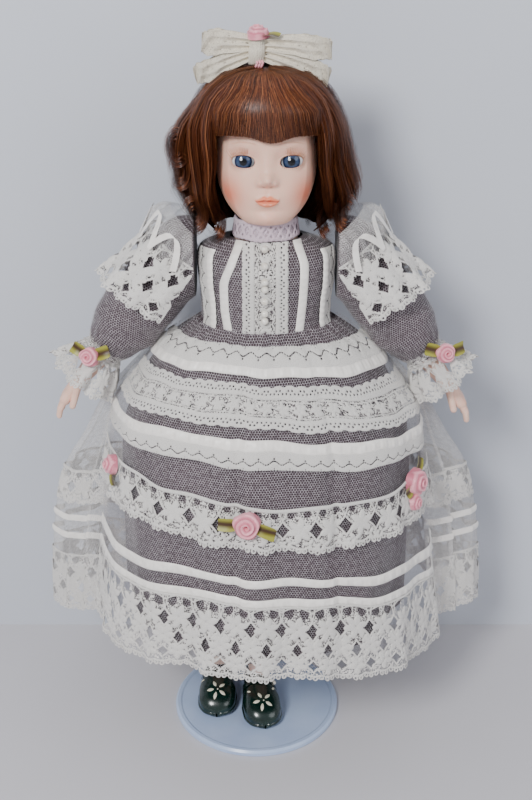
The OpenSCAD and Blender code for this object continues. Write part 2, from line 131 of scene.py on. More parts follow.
class Batch:
    """Gathers many small meshes into one."""

    def __init__(self):
        self.points, self.faces, self.uvs, self.colours, self.count = [], {}, [], [], 0

    def add(self, points, faces, uv=None, colour=None):
        points = np.asarray(points, float).reshape(-1, 3)
        for group in faces if isinstance(faces, list) else [faces]:
            self.faces.setdefault(group.shape[1], []).append(group + self.count)
        self.points.append(points)
        self.uvs.append(np.zeros((len(points), 2)) if uv is None else np.asarray(uv).reshape(-1, 2))
        self.colours.append(np.ones((len(points), 3)) if colour is None else colour)
        self.count += len(points)

    def piece(self, name, body, slot, material, **more):
        faces = [np.concatenate(group) for group in self.faces.values()]
        return mesh_piece(
            name, np.concatenate(self.points), faces, body, slot, material,
            uv=np.concatenate(self.uvs), colour=np.concatenate(self.colours), **more,
        )


def unit(vectors):
    """Vectors made one long."""
    return vectors / np.maximum(np.linalg.norm(vectors, axis=-1, keepdims=True), 1e-9)


def tube(path, radius, sides=8, cap=True):
    """Points and faces of a round tube along a path; radius may vary along it."""
    path = np.asarray(path, float)
    radius = np.broadcast_to(radius, len(path))
    along = unit(np.gradient(path, axis=0))
    across = unit(np.cross(along, [0.13, 0.31, 0.94]))
    up = np.cross(across, along)
    turn = np.linspace(0, 2 * np.pi, sides, endpoint=False)
    ring = np.cos(turn)[None, :, None] * across[:, None] + np.sin(turn)[None, :, None] * up[:, None]
    points = path[:, None] + ring * radius[:, None, None]
    faces = [grid_faces(len(path), sides, wrap=True)]
    points = points.reshape(-1, 3)
    if cap:
        ends = np.array([path[0], path[-1]])
        first = np.arange(sides)
        last = first + (len(path) - 1) * sides
        n = len(points)
        faces.append(np.concatenate([
            np.stack([np.roll(first, -1), first, np.full(sides, n)], 1),
            np.stack([last, np.roll(last, -1), np.full(sides, n + 1)], 1),
        ]))
        points = np.concatenate([points, ends])
    return points, faces


def ball(centre, size, rows=8, columns=12):
    """Points and faces of an ellipsoid."""
    theta = np.linspace(0.001, np.pi - 0.001, rows)[:, None]
    phi = np.linspace(0, 2 * np.pi, columns, endpoint=False)[None]
    x = np.sin(theta) * np.cos(phi)
    y = np.sin(theta) * np.sin(phi)
    z = np.cos(theta) + 0 * phi
    points = np.stack([x, y, z], -1) * size + np.asarray(centre)
    return points.reshape(-1, 3), grid_faces(rows, columns, wrap=True)


# ---- Flat patterns cut from fields, for lace ----

def cut(field, u0, u1, v0, v1, step):
    """Triangles over the part of a rectangle where field(u, v) is positive, with its value at each corner."""
    nu, nv = int((u1 - u0) / step) + 2, int((v1 - v0) / step) + 2
    u, v = np.meshgrid(np.linspace(u0, u1, nu), np.linspace(v0, v1, nv))
    f = field(u, v).ravel()
    f = np.where(np.abs(f) < 1e-7, 1e-7, f)
    uv = np.stack([u.ravel(), v.ravel()], 1)
    index = np.arange(nu * nv).reshape(nv, nu)
    a, b, c, d = (q.ravel() for q in (index[:-1, :-1], index[:-1, 1:], index[1:, 1:], index[1:, :-1]))
    triangles = np.concatenate([np.stack([a, b, c], 1), np.stack([a, c, d], 1)])
    inside = f[triangles] > 0
    count = inside.sum(1)
    whole = triangles[count == 3]

    def lone_first(these, flags):
        at = np.argmax(flags, axis=1)
        return np.stack([these[np.arange(len(these)), (at + k) % 3] for k in range(3)], 1)

    one = lone_first(triangles[count == 1], inside[count == 1])
    two = lone_first(triangles[count == 2], ~inside[count == 2])
    total = len(f)
    edges = np.concatenate([one[:, [0, 1]], one[:, [0, 2]], two[:, [0, 1]], two[:, [0, 2]]])
    edges = np.sort(edges, axis=1)
    keys, back = np.unique(edges[:, 0] * total + edges[:, 1], return_inverse=True)
    i, j = keys // total, keys % total
    t = (f[i] / (f[i] - f[j]))[:, None]
    points = np.concatenate([uv, uv[i] * (1 - t) + uv[j] * t])
    values = np.concatenate([f, np.zeros(len(keys))])
    back = back.ravel() + total
    n1, n2 = len(one), len(two)
    o1, o2, t1, t2 = back[:n1], back[n1:2 * n1], back[2 * n1:2 * n1 + n2], back[2 * n1 + n2:]
    faces = np.concatenate([
        whole,
        np.stack([one[:, 0], o1, o2], 1),
        np.stack([two[:, 1], two[:, 2], t2], 1),
        np.stack([two[:, 1], t2, t1], 1),
    ])
    used, faces = np.unique(faces, return_inverse=True)
    return points[used], faces.reshape(-1, 3), np.maximum(values[used], 0)


def repeat(u, pitch, start=0.0):
    """Distance of u from the middle of its repeat."""
    return (u - start + pitch / 2) % pitch - pitch / 2


def dot(u, v, cu, cv, r):
    """A disc."""
    return r - np.hypot(u - cu, v - cv)


def loop(u, v, cu, cv, r, thread):
    """A ring of thread."""
    return thread / 2 - np.abs(np.hypot(u - cu, v - cv) - r)


def stroke(u, v, start, end, thread):
    """A straight thread between two points."""
    (ax, ay), (bx, by) = start, end
    dx, dy = bx - ax, by - ay
    t = np.clip(((u - ax) * dx + (v - ay) * dy) / (dx * dx + dy * dy), 0, 1)
    return thread / 2 - np.hypot(u - ax - t * dx, v - ay - t * dy)


def diamond(u, v, cu, cv, a, b, pinch=0.8):
    """A four-pointed window with hollow sides."""
    return (1 - (np.abs((u - cu) / a) ** pinch + np.abs((v - cv) / b) ** pinch)) * min(a, b) * 0.7


def petals(u, v, cu, cv, count, reach, width, turn=0.0):
    """Oval petals round a centre."""
    best = np.full(np.shape(u), -9.0)
    for k in range(count):
        angle = turn + 2 * math.pi * k / count
        x, y = u - cu, v - cv
        along = x * math.cos(angle) + y * math.sin(angle) - reach * 0.55
        across = y * math.cos(angle) - x * math.sin(angle)
        best = np.maximum(best, (1 - np.hypot(along / (reach * 0.5), across / (width / 2))) * width / 2)
    return best


def union(*fields):
    """Everything that is in any of the fields."""
    best = fields[0]
    for field in fields[1:]:
        best = np.maximum(best, field)
    return best


def without(field, *holes):
    """The field with holes cut in it."""
    for hole in holes:
        field = np.minimum(field, -hole)
    return field


# ---- Materials ----

def srgb(r, g, b):
    """A shader colour from 0-255 values."""
    return tuple(c / 255 / 12.92 if c <= 10 else ((c / 255 + 0.055) / 1.055) ** 2.4
                 for c in (r, g, b)) + (1.0,)


class Shade:
    """A node material with one Principled shader."""

    def __init__(self, name, **constants):
        self.material = bpy.data.materials.new(name)
        self.material.use_nodes = True
        self.tree = self.material.node_tree
        self.tree.nodes.clear()
        self.out = self.tree.nodes.new("ShaderNodeOutputMaterial")
        self.shader = self.tree.nodes.new("ShaderNodeBsdfPrincipled")
        self.tree.links.new(self.shader.outputs[0], self.out.inputs[0])
        for key, value in constants.items():
            self.shader.inputs[key.replace("_", " ")].default_value = value

    def node(self, kind, inputs=None, out=0, **settings):
        node = self.tree.nodes.new("ShaderNode" + kind)
        for key, value in settings.items():
            setattr(node, key, value)
        for key, value in (inputs or {}).items():
            if isinstance(value, bpy.types.NodeSocket):
                self.tree.links.new(value, node.inputs[key])
            else:
                node.inputs[key].default_value = value
        return node.outputs[out]

    def math(self, operation, a, b=0.0, c=0.0):
        return self.node("Math", {0: a, 1: b, 2: c}, operation=operation)

    def vector(self, operation, a, b=(0, 0, 0), c=(0, 0, 0), out=0):
        return self.node("VectorMath", {0: a, 1: b, 2: c}, out=out, operation=operation)

    def place(self, scale=1.0):
        """Object coordinates in millimetres, times scale."""
        return self.vector("MULTIPLY", self.node("TexCoord", out=3), (1000 * scale,) * 3)

    def uv(self, scale=1.0):
        """The flat cloth's coordinates in millimetres, times scale."""
        return self.vector("MULTIPLY", self.node("TexCoord", out=2), (scale,) * 3)

    def noise(self, where, size, detail=3.0, rough=0.5, out=0):
        """Noise with features of the given size in millimetres."""
        return self.node("TexNoise", {"Vector": where, "Scale": 1 / size, "Detail": detail,
                                      "Roughness": rough}, out=out)

    def ramp(self, factor, *stops):
        node = self.tree.nodes.new("ShaderNodeValToRGB")
        self.tree.links.new(factor, node.inputs[0])
        elements = node.color_ramp.elements
        while len(elements) < len(stops):
            elements.new(0.5)
        for element, (position, colour) in zip(elements, stops):
            element.position, element.color = position, colour if len(colour) == 4 else (*colour, 1)
        return node.outputs[0]

    def mix(self, factor, a, b, blend="MIX"):
        node = self.tree.nodes.new("ShaderNodeMix")
        node.data_type, node.blend_type = "RGBA", blend
        for socket, value in ((node.inputs[0], factor), (node.inputs[6], a), (node.inputs[7], b)):
            if isinstance(value, bpy.types.NodeSocket):
                self.tree.links.new(value, socket)
            else:
                socket.default_value = value
        return node.outputs[2]

    def bump(self, height, strength, distance_mm):
        normal = self.node("Bump", {"Height": height, "Strength": strength, "Distance": distance_mm * MM})
        self.link(Normal=normal)

    def link(self, **sockets):
        for key, value in sockets.items():
            self.tree.links.new(value, self.shader.inputs[key.replace("_", " ")])


def hex_thread(shade, where, pitch, thread, soft=0.25):
    """1 on the threads of a hexagonal net, 0 in its holes."""
    tall = 3 ** 0.5
    cell = (1.0, tall, 1.0)
    p = shade.vector("DIVIDE", where, (pitch,) * 3)

    def folded(shift):
        moved = shade.vector("ADD", p, shift)
        inside = shade.vector("MODULO", shade.vector("ADD", moved, (400.0, 400.0 * tall, 0)), cell)
        return shade.vector("ABSOLUTE", shade.vector("SUBTRACT", inside, (0.5, tall / 2, 0)))

    def edge(local):
        flat = shade.vector("MULTIPLY", local, (1, 1, 0))
        slant = shade.vector("DOT_PRODUCT", flat, (0.5, tall / 2, 0), out=1)
        across = shade.vector("DOT_PRODUCT", flat, (1, 0, 0), out=1)
        return shade.math("MAXIMUM", slant, across)

    nearest = shade.math("MINIMUM", edge(folded((0, 0, 0))), edge(folded((0.5, tall / 2, 0))))
    wide = thread / pitch / 2
    return shade.node("MapRange", {
        "Value": nearest, "From Min": 0.5 - wide * (1 + soft), "From Max": 0.5 - wide * (1 - soft),
        "To Min": 0.0, "To Max": 1.0,
    })


def make_lining():
    s = Shade("dress_lining", Roughness=0.62, Sheen_Weight=0.25, Sheen_Roughness=0.5, Specular_IOR_Level=0.3)
    where = s.place()
    cloud = s.noise(where, 26, 4)
    fine = s.noise(where, 0.8, 2)
    colour = s.ramp(cloud, (0.3, srgb(40, 30, 34)), (0.5, srgb(52, 40, 45)), (0.72, srgb(64, 50, 56)))
    s.link(Base_Color=s.mix(fine, colour, s.mix(0.4, colour, srgb(104, 84, 94))))
    s.bump(s.noise(where, 0.5, 3), 0.5, 0.15)
    return s.material


def make_net(name, pitch, thread, light, dark):
    """Sheer net: real holes between its threads."""
    s = Shade(name, Roughness=0.55, Specular_IOR_Level=0.4, Sheen_Weight=0.1)
    where = s.uv()
    wander = s.vector("SCALE", s.noise(where, 30, 1, out=1), (0, 0, 0))
    wander.node.inputs["Scale"].default_value = pitch * 1.5
    threads = hex_thread(s, s.vector("ADD", where, wander), pitch, thread)
    glint = s.noise(where, 2.2, 2)
    s.link(Base_Color=s.ramp(glint, (0.35, dark), (0.6, light)), Alpha=threads)
    s.bump(threads, 0.5, 0.2)
    return s.material


def make_lace(name, light, dark):
    """Embroidered cotton: fine crossing stitches over a slightly uneven white."""
    s = Shade(name, Roughness=0.8, Specular_IOR_Level=0.15, Sheen_Weight=0.2, Sheen_Roughness=0.6)
    where = s.uv()
    stitch = s.noise(where, 0.45, 3, 0.7)
    patch = s.noise(where, 7, 3)
    body = s.ramp(stitch, (0.3, dark), (0.55, light))
    s.link(Base_Color=s.mix(patch, body, s.mix(0.5, body, light)))
    wave = s.node("TexWave", {"Vector": where, "Scale": 1.1, "Distortion": 3.0, "Detail": 2.0}, out=1)
    s.bump(s.math("ADD", stitch, wave), 0.7, 0.25)
    return s.material


def make_tulle(name, light, dark, pore, coverage):
    """The lace's ground: a dense fine net with pin holes."""
    s = Shade(name, Roughness=0.8, Specular_IOR_Level=0.15, Sheen_Weight=0.15)
    where = s.uv()
    cells = s.node("TexVoronoi", {"Vector": where, "Scale": 1 / pore, "Randomness": 0.75}, feature="F1",
                   out=0)
    uneven = s.noise(where, 3.5, 3, 0.6)
    level = s.math("ADD", s.math("MULTIPLY", uneven, 0.5), coverage)
    gap = s.node("MapRange", {"Value": cells, "From Min": s.math("SUBTRACT", 0.72, level),
                              "From Max": s.math("SUBTRACT", 0.84, level)})
    patch = s.noise(where, 0.7, 2)
    s.link(Base_Color=s.ramp(patch, (0.3, dark), (0.62, light)), Alpha=gap)
    s.bump(gap, 0.4, 0.2)
    return s.material


def make_satin(name, light, dark, rough=0.32):
    """Woven satin: long fine streaks along the ribbon and soft unevenness."""
    s = Shade(name, Roughness=rough, Specular_IOR_Level=0.45, Sheen_Weight=0.3, Sheen_Roughness=0.35)
    where = s.uv()
    streak = s.node("TexNoise", {"Vector": s.vector("MULTIPLY", where, (0.25, 6.0, 1)), "Scale": 1.0,
                                 "Detail": 3.0})
    crease = s.noise(where, 4.5, 2)
    s.link(Base_Color=s.mix(streak, s.ramp(crease, (0.3, dark), (0.6, light)), light))
    s.bump(s.math("ADD", s.math("MULTIPLY", streak, 0.3), crease), 0.35, 0.5)
    return s.material


def make_painted(name, **constants):
    """Colour brushed on in the piece's own paint attribute, over a softly mottled ceramic."""
    s = Shade(name, **constants)
    paint = s.node("Attribute", attribute_name="Paint")
    where = s.place()
    cloud = s.noise(where, 9, 3)
    tone = s.mix(0.06, paint, s.ramp(cloud, (0.3, (0.55, 0.3, 0.25)), (0.7, (1.0, 0.9, 0.85))), "MULTIPLY")
    s.link(Base_Color=tone)
    s.link(Roughness=s.node("MapRange", {"Value": s.noise(where, 3, 3),
                                         "To Min": constants["Roughness"] - 0.05,
                                         "To Max": constants["Roughness"] + 0.08}))
    s.bump(s.noise(where, 0.35, 3), 0.12, 0.05)
    return s.material


def make_mottled(name, dark, light, patch, strength, depth, grain=None, rough=None, **constants):
    """A plain finish: soft patches of two tones, a fine grain, and if asked for, an uneven shine.

    patch and grain are a size in millimetres and a detail; rough adds its lowest and highest value to those.
    """
    s = Shade(name, **constants)
    where = s.place()
    cloud = s.noise(where, *patch)
    s.link(Base_Color=s.ramp(cloud, (0.3, dark), (0.7, light)))
    if rough:
        size, detail, smooth, dull = rough
        spread = {"Value": s.noise(where, size, detail), "To Min": smooth, "To Max": dull}
        s.link(Roughness=s.node("MapRange", spread))
    s.bump(s.noise(where, *grain) if grain else cloud, strength, depth)
    return s.material


LINING = make_lining()
NET = make_net("sheer_net", 1.4, 0.14, srgb(226, 220, 224), srgb(150, 142, 148))
SHEER = make_net("sheer_net_fine", 1.1, 0.22, srgb(236, 234, 232), srgb(205, 202, 200))
LACE = make_lace("embroidered_lace", srgb(240, 237, 232), srgb(196, 192, 186))
TULLE = make_tulle("lace_ground", srgb(232, 229, 224), srgb(186, 182, 178), 0.85, 0.02)
SATIN = make_satin("satin_ribbon", srgb(244, 240, 234), srgb(220, 214, 206))
LILAC = make_lace("collar_lace", srgb(226, 206, 218), srgb(178, 152, 170))
LILAC_TULLE = make_tulle("collar_ground", srgb(214, 196, 208), srgb(166, 146, 160), 0.6, 0.2)
CREAM_LACE = make_lace("bow_lace", srgb(240, 232, 214), srgb(200, 190, 170))
CREAM_TULLE = make_tulle("bow_ground", srgb(234, 226, 208), srgb(196, 188, 170), 0.7, 0.12)


# ---- The skirt's surfaces ----

front_depth = smooth_curve([(60, 88), (84, 85), (136, 78), (180, 70), (214, 60), (240, 48), (250, 41),
                            (262, 30.2)])
lining_half = smooth_curve([(84, 84), (160, 84), (188, 83), (200, 81), (211, 77), (220, 73), (231, 68),
                            (240, 62), (250, 54), (262, 37)])
net_half = smooth_curve([(60, 101), (84, 99), (127, 95), (160, 92), (188, 88), (211, 84), (231, 70),
                         (250, 56), (262, 38)])
fan_half = smooth_curve([(60, 130), (110, 127), (160, 117), (185, 103), (206, 92), (240, 64), (262, 37)])
side_drop = smooth_curve([(84, 14), (126, 12), (136, 11), (157, -3), (180, -4), (205, 6), (250, 6)])
WAIST, HEM, FAN_HEM = 262.0, 84.0, 66.0
LINING_HEM, FAN_TOP = 92.0, 240.0
# The skirt's depth behind the doll as a share of its depth in front: net, and lining
BACK_SHARE, LINING_BACK = 0.78, 0.76


def folds(phi, z):
    """How far the gathered skirt waves in and out at an angle from the centre front."""
    low = np.clip((WAIST - z) / (WAIST - HEM), 0, 1)
    wide = np.cos(8 * phi + 0.7) + 0.6 * np.cos(13 * phi + 2.1) + 0.35 * np.cos(19 * phi + 0.4)
    tight = np.cos(34 * phi + 0.9) + 0.5 * np.cos(47 * phi)
    crease = -3.2 * np.exp(-((phi + 0.17) / 0.035) ** 2) - 2.6 * np.exp(-((phi - 0.42) / 0.03) ** 2)
    return ((0.3 + 1.1 * low) * wide + 0.55 * np.exp(-((z - WAIST) / 12) ** 2) * tight
            + crease * low * (1 - low) * 2.4)


def hang(phi, z):
    """The height of a band that is at z at the centre front."""
    lean = 0.065 * net_half(z) * np.sin(phi)
    uneven = 0.7 * np.sin(9 * phi + z * 0.11) + 0.4 * np.sin(17 * phi - z * 0.07)
    steady = np.clip((WAIST - z) / 30, 0, 1)
    return z - (side_drop(z) * np.sin(phi) ** 2 + lean + uneven * 0.8) * steady


def skirt_at(phi, z, lift, half=net_half, back=BACK_SHARE):
    """A point on the skirt: phi turns from the centre front toward +X."""
    wide = half(z)
    deep = front_depth(z) * np.where(np.cos(phi) < 0, back, 1.0)
    n = unit(np.stack([np.sin(phi) / wide, -np.cos(phi) / deep, 0 * phi], -1))
    shell = np.stack([wide * np.sin(phi), -deep * np.cos(phi), z + 0 * phi], -1)
    return shell + n * (folds(phi, z) + lift)[..., None]


def run_length(line):
    """The distance along a line of points, at each of them."""
    return np.concatenate([[0], np.cumsum(np.linalg.norm(np.diff(line, axis=0), axis=1))])


def arc_of(z, half, count=600, reach=1.55):
    """Angle as a function of distance along the skirt's front at height z."""
    phi = np.linspace(-reach, reach, count)
    line = skirt_at(phi, z + 0 * phi, 0 * phi, half)
    length = run_length(line)
    length -= length[count // 2]
    return lambda u: np.interp(u, length, phi), length[0], length[-1]


def fan_at(t, z, lift):
    """A point on the wide net behind: t runs round the back, from 0 at the -X side to 1 at +X."""
    inner, outer = net_half(z) - 1.5, fan_half(z)
    deep = outer / 130.0
    behind = np.maximum(deep, (LINING_BACK * front_depth(z) + 3) / 60)
    one = np.ones_like(z)
    half_plan = [
        (inner, 2 * one), ((inner + outer) / 2, 5 * one), (outer, 17 * deep), (0.86 * outer, 42 * deep),
        (0.5 * outer, 58 * behind),
    ]
    plan = ([(-x, y) for x, y in half_plan] + [(0 * z, 64 * behind)]
            + [(x, y) for x, y in reversed(half_plan)])
    xs = np.stack([p[0] for p in plan])
    ys = np.stack([p[1] for p in plan])
    place = np.clip(t, 0, 1) * (len(plan) - 1)
    i = np.clip(place.astype(int), 0, len(plan) - 2)
    s = place - i
    pick = lambda a, k: np.take_along_axis(a, np.clip(i + k, 0, len(plan) - 1)[None], axis=0)[0]
    weights = [(-s + 2 * s**2 - s**3) / 2, (2 - 5 * s**2 + 3 * s**3) / 2, (s + 4 * s**2 - 3 * s**3) / 2,
               (s**3 - s**2) / 2]
    x = sum(w * pick(xs, k - 1) for k, w in enumerate(weights))
    y = sum(w * pick(ys, k - 1) for k, w in enumerate(weights))
    low = np.clip((WAIST - z) / (WAIST - FAN_HEM), 0, 1)
    wave = (0.6 + 2.2 * low) * (np.cos(place * 9.5 + 0.8) + 0.5 * np.cos(place * 15 + z * 0.012))
    wave = wave * np.clip(np.minimum(t, 1 - t) * 12, 0, 1)
    n = unit(np.stack([x / outer**2, (y + 1) / (60 * deep) ** 2, 0 * z], -1))
    return np.stack([x, y, z], -1) + n * (wave + lift)[..., None]


def sheet_grid(name, at, us, vs, body, slot, material, uv_size, area=None,
               stands_for=()):
    """A cloth grid from a surface function of (u, v)."""
    u, v = np.meshgrid(us, vs)
    points = on_doll(at(u, v).reshape(-1, 3))
    along = np.linalg.norm(np.diff(points.reshape(len(vs), len(us), 3), axis=1), axis=2)
    along = np.concatenate([np.zeros((len(vs), 1)), np.cumsum(along, axis=1)], axis=1)
    across = (v - vs[0]) / (vs[-1] - vs[0]) * uv_size[1]
    uv = np.stack([along - along[:, len(us) // 2:len(us) // 2 + 1], across], -1)
    obj = mesh_piece(name, points, grid_faces(len(vs), len(us)), body, slot, material, uv=uv.reshape(-1, 2),
                     stands_for=stands_for)
    declare(obj, uv_size, area)
    return obj


def surface_area(obj):
    """The area of a mesh in square metres."""
    mesh = obj.data
    areas = np.empty(len(mesh.polygons))
    mesh.polygons.foreach_get("area", areas)
    return float(areas.sum())


def declare(obj, size_mm, area=None):
    """Works out an area for a sheet from its cut, less for a shaped one, and skips a narrow trim; the area is
    not kept.
    """
    if min(size_mm) <= 12:
        return
    rectangle = size_mm[0] * size_mm[1] * MM * MM
    if area is None and not 0.8 < surface_area(obj) / rectangle < 1.3:
        area = min(max(surface_area(obj), 0.32 * rectangle), rectangle)


# ---- Skirt: lining, net and fan ----

def lining_at(phi, z):
    return skirt_at(phi, z, -2.6 + 0 * phi, lining_half, LINING_BACK)


sheet_grid("skirt_lining_cloth", lining_at, np.linspace(-np.pi, np.pi, 361),
           np.linspace(LINING_HEM, WAIST, 70), "doll",
           "dress_dark", LINING, (610, 185), stands_for=["skirt_lining"], area=0.080)
sheet_grid("skirt_net_cloth", lambda phi, z: skirt_at(phi, z, 0 * phi), np.linspace(-1.62, 1.62, 361),
           np.linspace(HEM + 4, WAIST, 90), "doll", "net_white", NET, (330, 185), stands_for=["skirt_net"],
           area=0.045)
sheet_grid("skirt_fan_cloth", lambda t, z: fan_at(t, z, 0 * t), np.linspace(0, 1, 421),
           np.linspace(FAN_HEM + 3, FAN_TOP, 90),
           "doll", "net_white", SHEER, (420, 185), stands_for=["skirt_back_net"], area=0.070)


# ---- Lace bands ----

def lace_field_waves(u, v, height):
    """Edging with a scalloped top (at v = height) and a wave of small slits."""
    pitch = 8.0
    top = height - 1.3 + 1.3 * np.abs(np.cos(math.pi * u / pitch))
    picots = dot(repeat(u, pitch / 5), v, 0, height - 0.6 + 0 * u, 0.7)
    edge = np.minimum(top - v, v + 0.2)
    wave_mid = height - 3.4 + 0.9 * np.cos(2 * math.pi * u / pitch)
    slit = 0.34 - np.abs(v - wave_mid) - 0.22 * (np.sin(2 * math.pi * u / 1.3) > 0.72)
    small = dot(repeat(u, pitch, pitch / 2), v, 0, height - 5.4, 0.5)
    return without(union(edge, np.minimum(picots, v)), slit, small)


def lace_field_eyelets(u, v, height):
    """Two pierced edge strips joined by ribs; the flower row between them is a motif on net."""
    pitch, strip = 6.6, 6.2
    down = np.minimum(v, height - v)
    rim = 0.9 - 0.9 * np.abs(np.cos(math.pi * u / pitch))
    solid = np.minimum(down - rim, strip - down)
    near = repeat(u, pitch)
    holes = [dot(np.abs(near), down, 1.0, 2.2, 0.52), dot(np.abs(near), down, 2.3, 3.5, 0.5),
             dot(near, down, 0.0, 3.7, 0.42)]
    picots = dot(repeat(u, pitch / 4), down, 0, 0.35 + rim, 0.55)
    ribs = 0.24 - np.abs(down - strip - 0.9)
    return union(without(solid, *holes), picots, ribs)


def lace_field_flower_row(u, v, height):
    """A row of small flowers joined by a cord."""
    pitch = 8.6
    x = repeat(u, pitch)
    row = height / 2 + 0.5 * np.sign(np.sin(math.pi * u / pitch))
    flower = petals(x, v, 0, row, 5, 3.4, 2.3, 0.6)
    ring = loop(x, v, 0, row, 1.0, 0.5)
    link = np.minimum(0.4 - np.abs(v - row - 0.8 * np.sin(2 * math.pi * u / pitch)), 3.2 - 0 * u)
    return union(flower, ring, link)


def flounce_motif(u, v, height, pitch=17.0):
    """Corded heading, flowers with leaves between windows on Y stems, and a picot edge."""
    x = repeat(u, pitch)
    y = repeat(u, pitch, pitch / 2)
    heading = np.minimum(height - v, v - height + 1.9)
    flower = petals(x, v, 0, height * 0.52, 6, 6.4, 3.5, 0.3)
    heart = dot(x, v, 0, height * 0.52, 1.2)
    stem = union(stroke(y, v, (0, height * 0.74), (-2.3, height - 1), 0.7),
                 stroke(y, v, (0, height * 0.74), (2.3, height - 1), 0.7))
    frame_ring = 0.45 - np.abs(diamond(y, v, 0, height * 0.52, 4.6, 4.9) * 1.0 + 0.25)
    sprig = petals(np.abs(x), v, 4.6, height * 0.23, 3, 3.2, 1.9, 0.9)
    small = petals(y, v, 0, height * 0.18, 4, 2.5, 1.7, 0.78)
    edge = scallop_edge(u, v, pitch / 2)
    return union(heading, flower, heart, stem, frame_ring, sprig, small, edge)


def scallop_edge(u, v, pitch):
    """Picot rings along a scalloped lower edge, and the cord above them."""
    low = 1.3 - 1.1 * np.abs(np.cos(math.pi * u / pitch))
    x = repeat(u, 3.2)
    ring = np.minimum(loop(x, v, 0, low + 1.2, 1.0, 0.75), 5 - v)
    cord = 0.5 - np.abs(v - low - 2.6)
    return union(ring, cord)


def lower_edge(u, pitch):
    """Where the net ground ends above a scalloped edge."""
    return 1.5 - 1.1 * np.abs(np.cos(math.pi * u / pitch))


def flounce_ground(u, v, height, pitch=17.0):
    """The net under flounce_motif, open at its windows."""
    y = repeat(u, pitch, pitch / 2)
    body = np.minimum(v - lower_edge(u, pitch / 2) - 0.3, height - 0.3 - v)
    window = diamond(y, v, 0, height * 0.52, 4.3, 4.6)
    top_gap = union(dot(repeat(u, pitch / 2, pitch / 4), v, 0, height - 3.4, 1.9), -5 + 0 * u)
    return without(body, window, top_gap)


def hem_motif(u, v, height, pitch=16.5):
    """V cords from the ribbon down to dense rows of flowers around star windows, and a picot edge."""
    x = repeat(u, pitch)
    y = repeat(u, pitch, pitch / 2)
    rows = [height * 0.71, height * 0.42, height * 0.17]
    cords = union(
        stroke(y, v, (0, height - 9), (-1.6, height), 0.7),
        stroke(y, v, (0, height - 9), (1.6, height), 0.7),
        0.4 - np.abs(v - height + 3.2 - 2.6 * np.abs(np.cos(math.pi * u / pitch))) ,
    )
    first = petals(x, v, 0, rows[0], 6, 6.6, 3.7, 0.25)
    second = petals(y, v, 0, rows[1] + 1, 6, 6.2, 3.6, 0.0)
    third = petals(x, v, 0, rows[2] + 2, 5, 5.2, 3.4, 0.9)
    frames = union(
        0.5 - np.abs(diamond(y, v, 0, rows[0] - 1, 4.6, 5.2) + 0.35),
        0.45 - np.abs(diamond(x, v, 0, rows[1], 4.2, 4.6) + 0.35),
        0.4 - np.abs(diamond(y, v, 0, rows[2] + 1.5, 3.8, 3.6) + 0.3),
    )
    leaves = union(
        petals(np.abs(x), v, 4.4, rows[0] - 6.4, 3, 2.9, 1.9, 0.4),
        petals(np.abs(y), v, 4.3, rows[1] - 5.6, 3, 2.8, 1.8, 0.2),
        petals(np.abs(x), v, 5.0, rows[2] + 7.2, 3, 2.6, 1.7, 0.2),
    )
    heading = np.minimum(height - v, v - height + 1.2)
    return union(cords, first, second, third, frames, leaves, heading, scallop_edge(u, v, pitch / 2))


def hem_ground(u, v, height, pitch=16.5):
    """The net under hem_motif, open at its windows."""
    x = repeat(u, pitch)
    y = repeat(u, pitch, pitch / 2)
    rows = [height * 0.71, height * 0.42, height * 0.17]
    body = np.minimum(v - lower_edge(u, pitch / 2) - 0.3, height - 0.2 - v)
    gap = dot(repeat(u, pitch / 2, pitch / 4), v * 0.8 + (height - 3.6) * 0.2, 0, height - 3.6, 2.5)
    return without(
        body, gap, diamond(y, v, 0, rows[0] - 1, 4.3, 4.9), diamond(x, v, 0, rows[1], 3.9, 4.2),
        diamond(y, v, 0, rows[2] + 1.5, 3.2, 3.0),
    )


def lace_piece(name, field, width, height, at, body, material, relief, step=0.42, slot="lace_white",
               stands_for=(), held="gathered", u_from=None):
    """Cuts a lace pattern and lays it on the surface at(u, v, lift)."""
    u0 = -width / 2 if u_from is None else u_from
    uv, faces, value = cut(lambda u, v: field(u, v, height), u0, u0 + width, -0.6, height + 0.6, step)
    lift = relief * np.minimum(value / 0.7, 1.0) ** 0.7
    points = on_doll(at(uv[:, 0], np.clip(uv[:, 1], 0, height), lift))
    obj = mesh_piece(name, points, faces, body, slot, material, uv=uv, stands_for=stands_for)
    rectangle = width * height * MM * MM
    declare(obj, (width, height), area=min(max(surface_area(obj), 0.32 * rectangle), rectangle))
    return obj


def skirt_band(low, high, base, flare=0.0, waves=22):
    """Maps flat lace onto the front of the skirt between two centre-front heights, its foot standing off."""
    angle, u0, u1 = arc_of((low + high) / 2, net_half)

    def at(u, v, lift):
        phi = angle(u)
        z = hang(phi, low + v)
        free = (high - low - v) / (high - low)
        ruffle = flare * free * (1.1 + np.cos(waves * phi + 0.8) + 0.5 * np.cos(waves * 1.7 * phi))
        return skirt_at(phi, z, base + lift + ruffle)

    return at, u0, u1 - u0


def ribbon_band(name, low, high, thick=1.0, stands_for=(), base=0.5):
    """A satin ribbon sewn along a band of the skirt, a little full across its width."""
    at, u0, width = skirt_band(low, high, base)
    height = high - low

    def place(u, v):
        crown = 0.8 * np.sin(np.pi * np.clip(v / height, 0, 1)) ** 0.5
        pucker = 0.28 * np.sin(u * 0.9) + 0.22 * np.sin(u * 2.3 + 1.0)
        return at(u, v, crown * thick + pucker * np.sin(np.pi * v / height))

    return sheet_grid(name, place, np.linspace(u0, u0 + width, int(width / 0.8)), np.linspace(0, height, 9),
                      "doll",
                      "satin_white", SATIN, (width, height),
                      stands_for=stands_for)


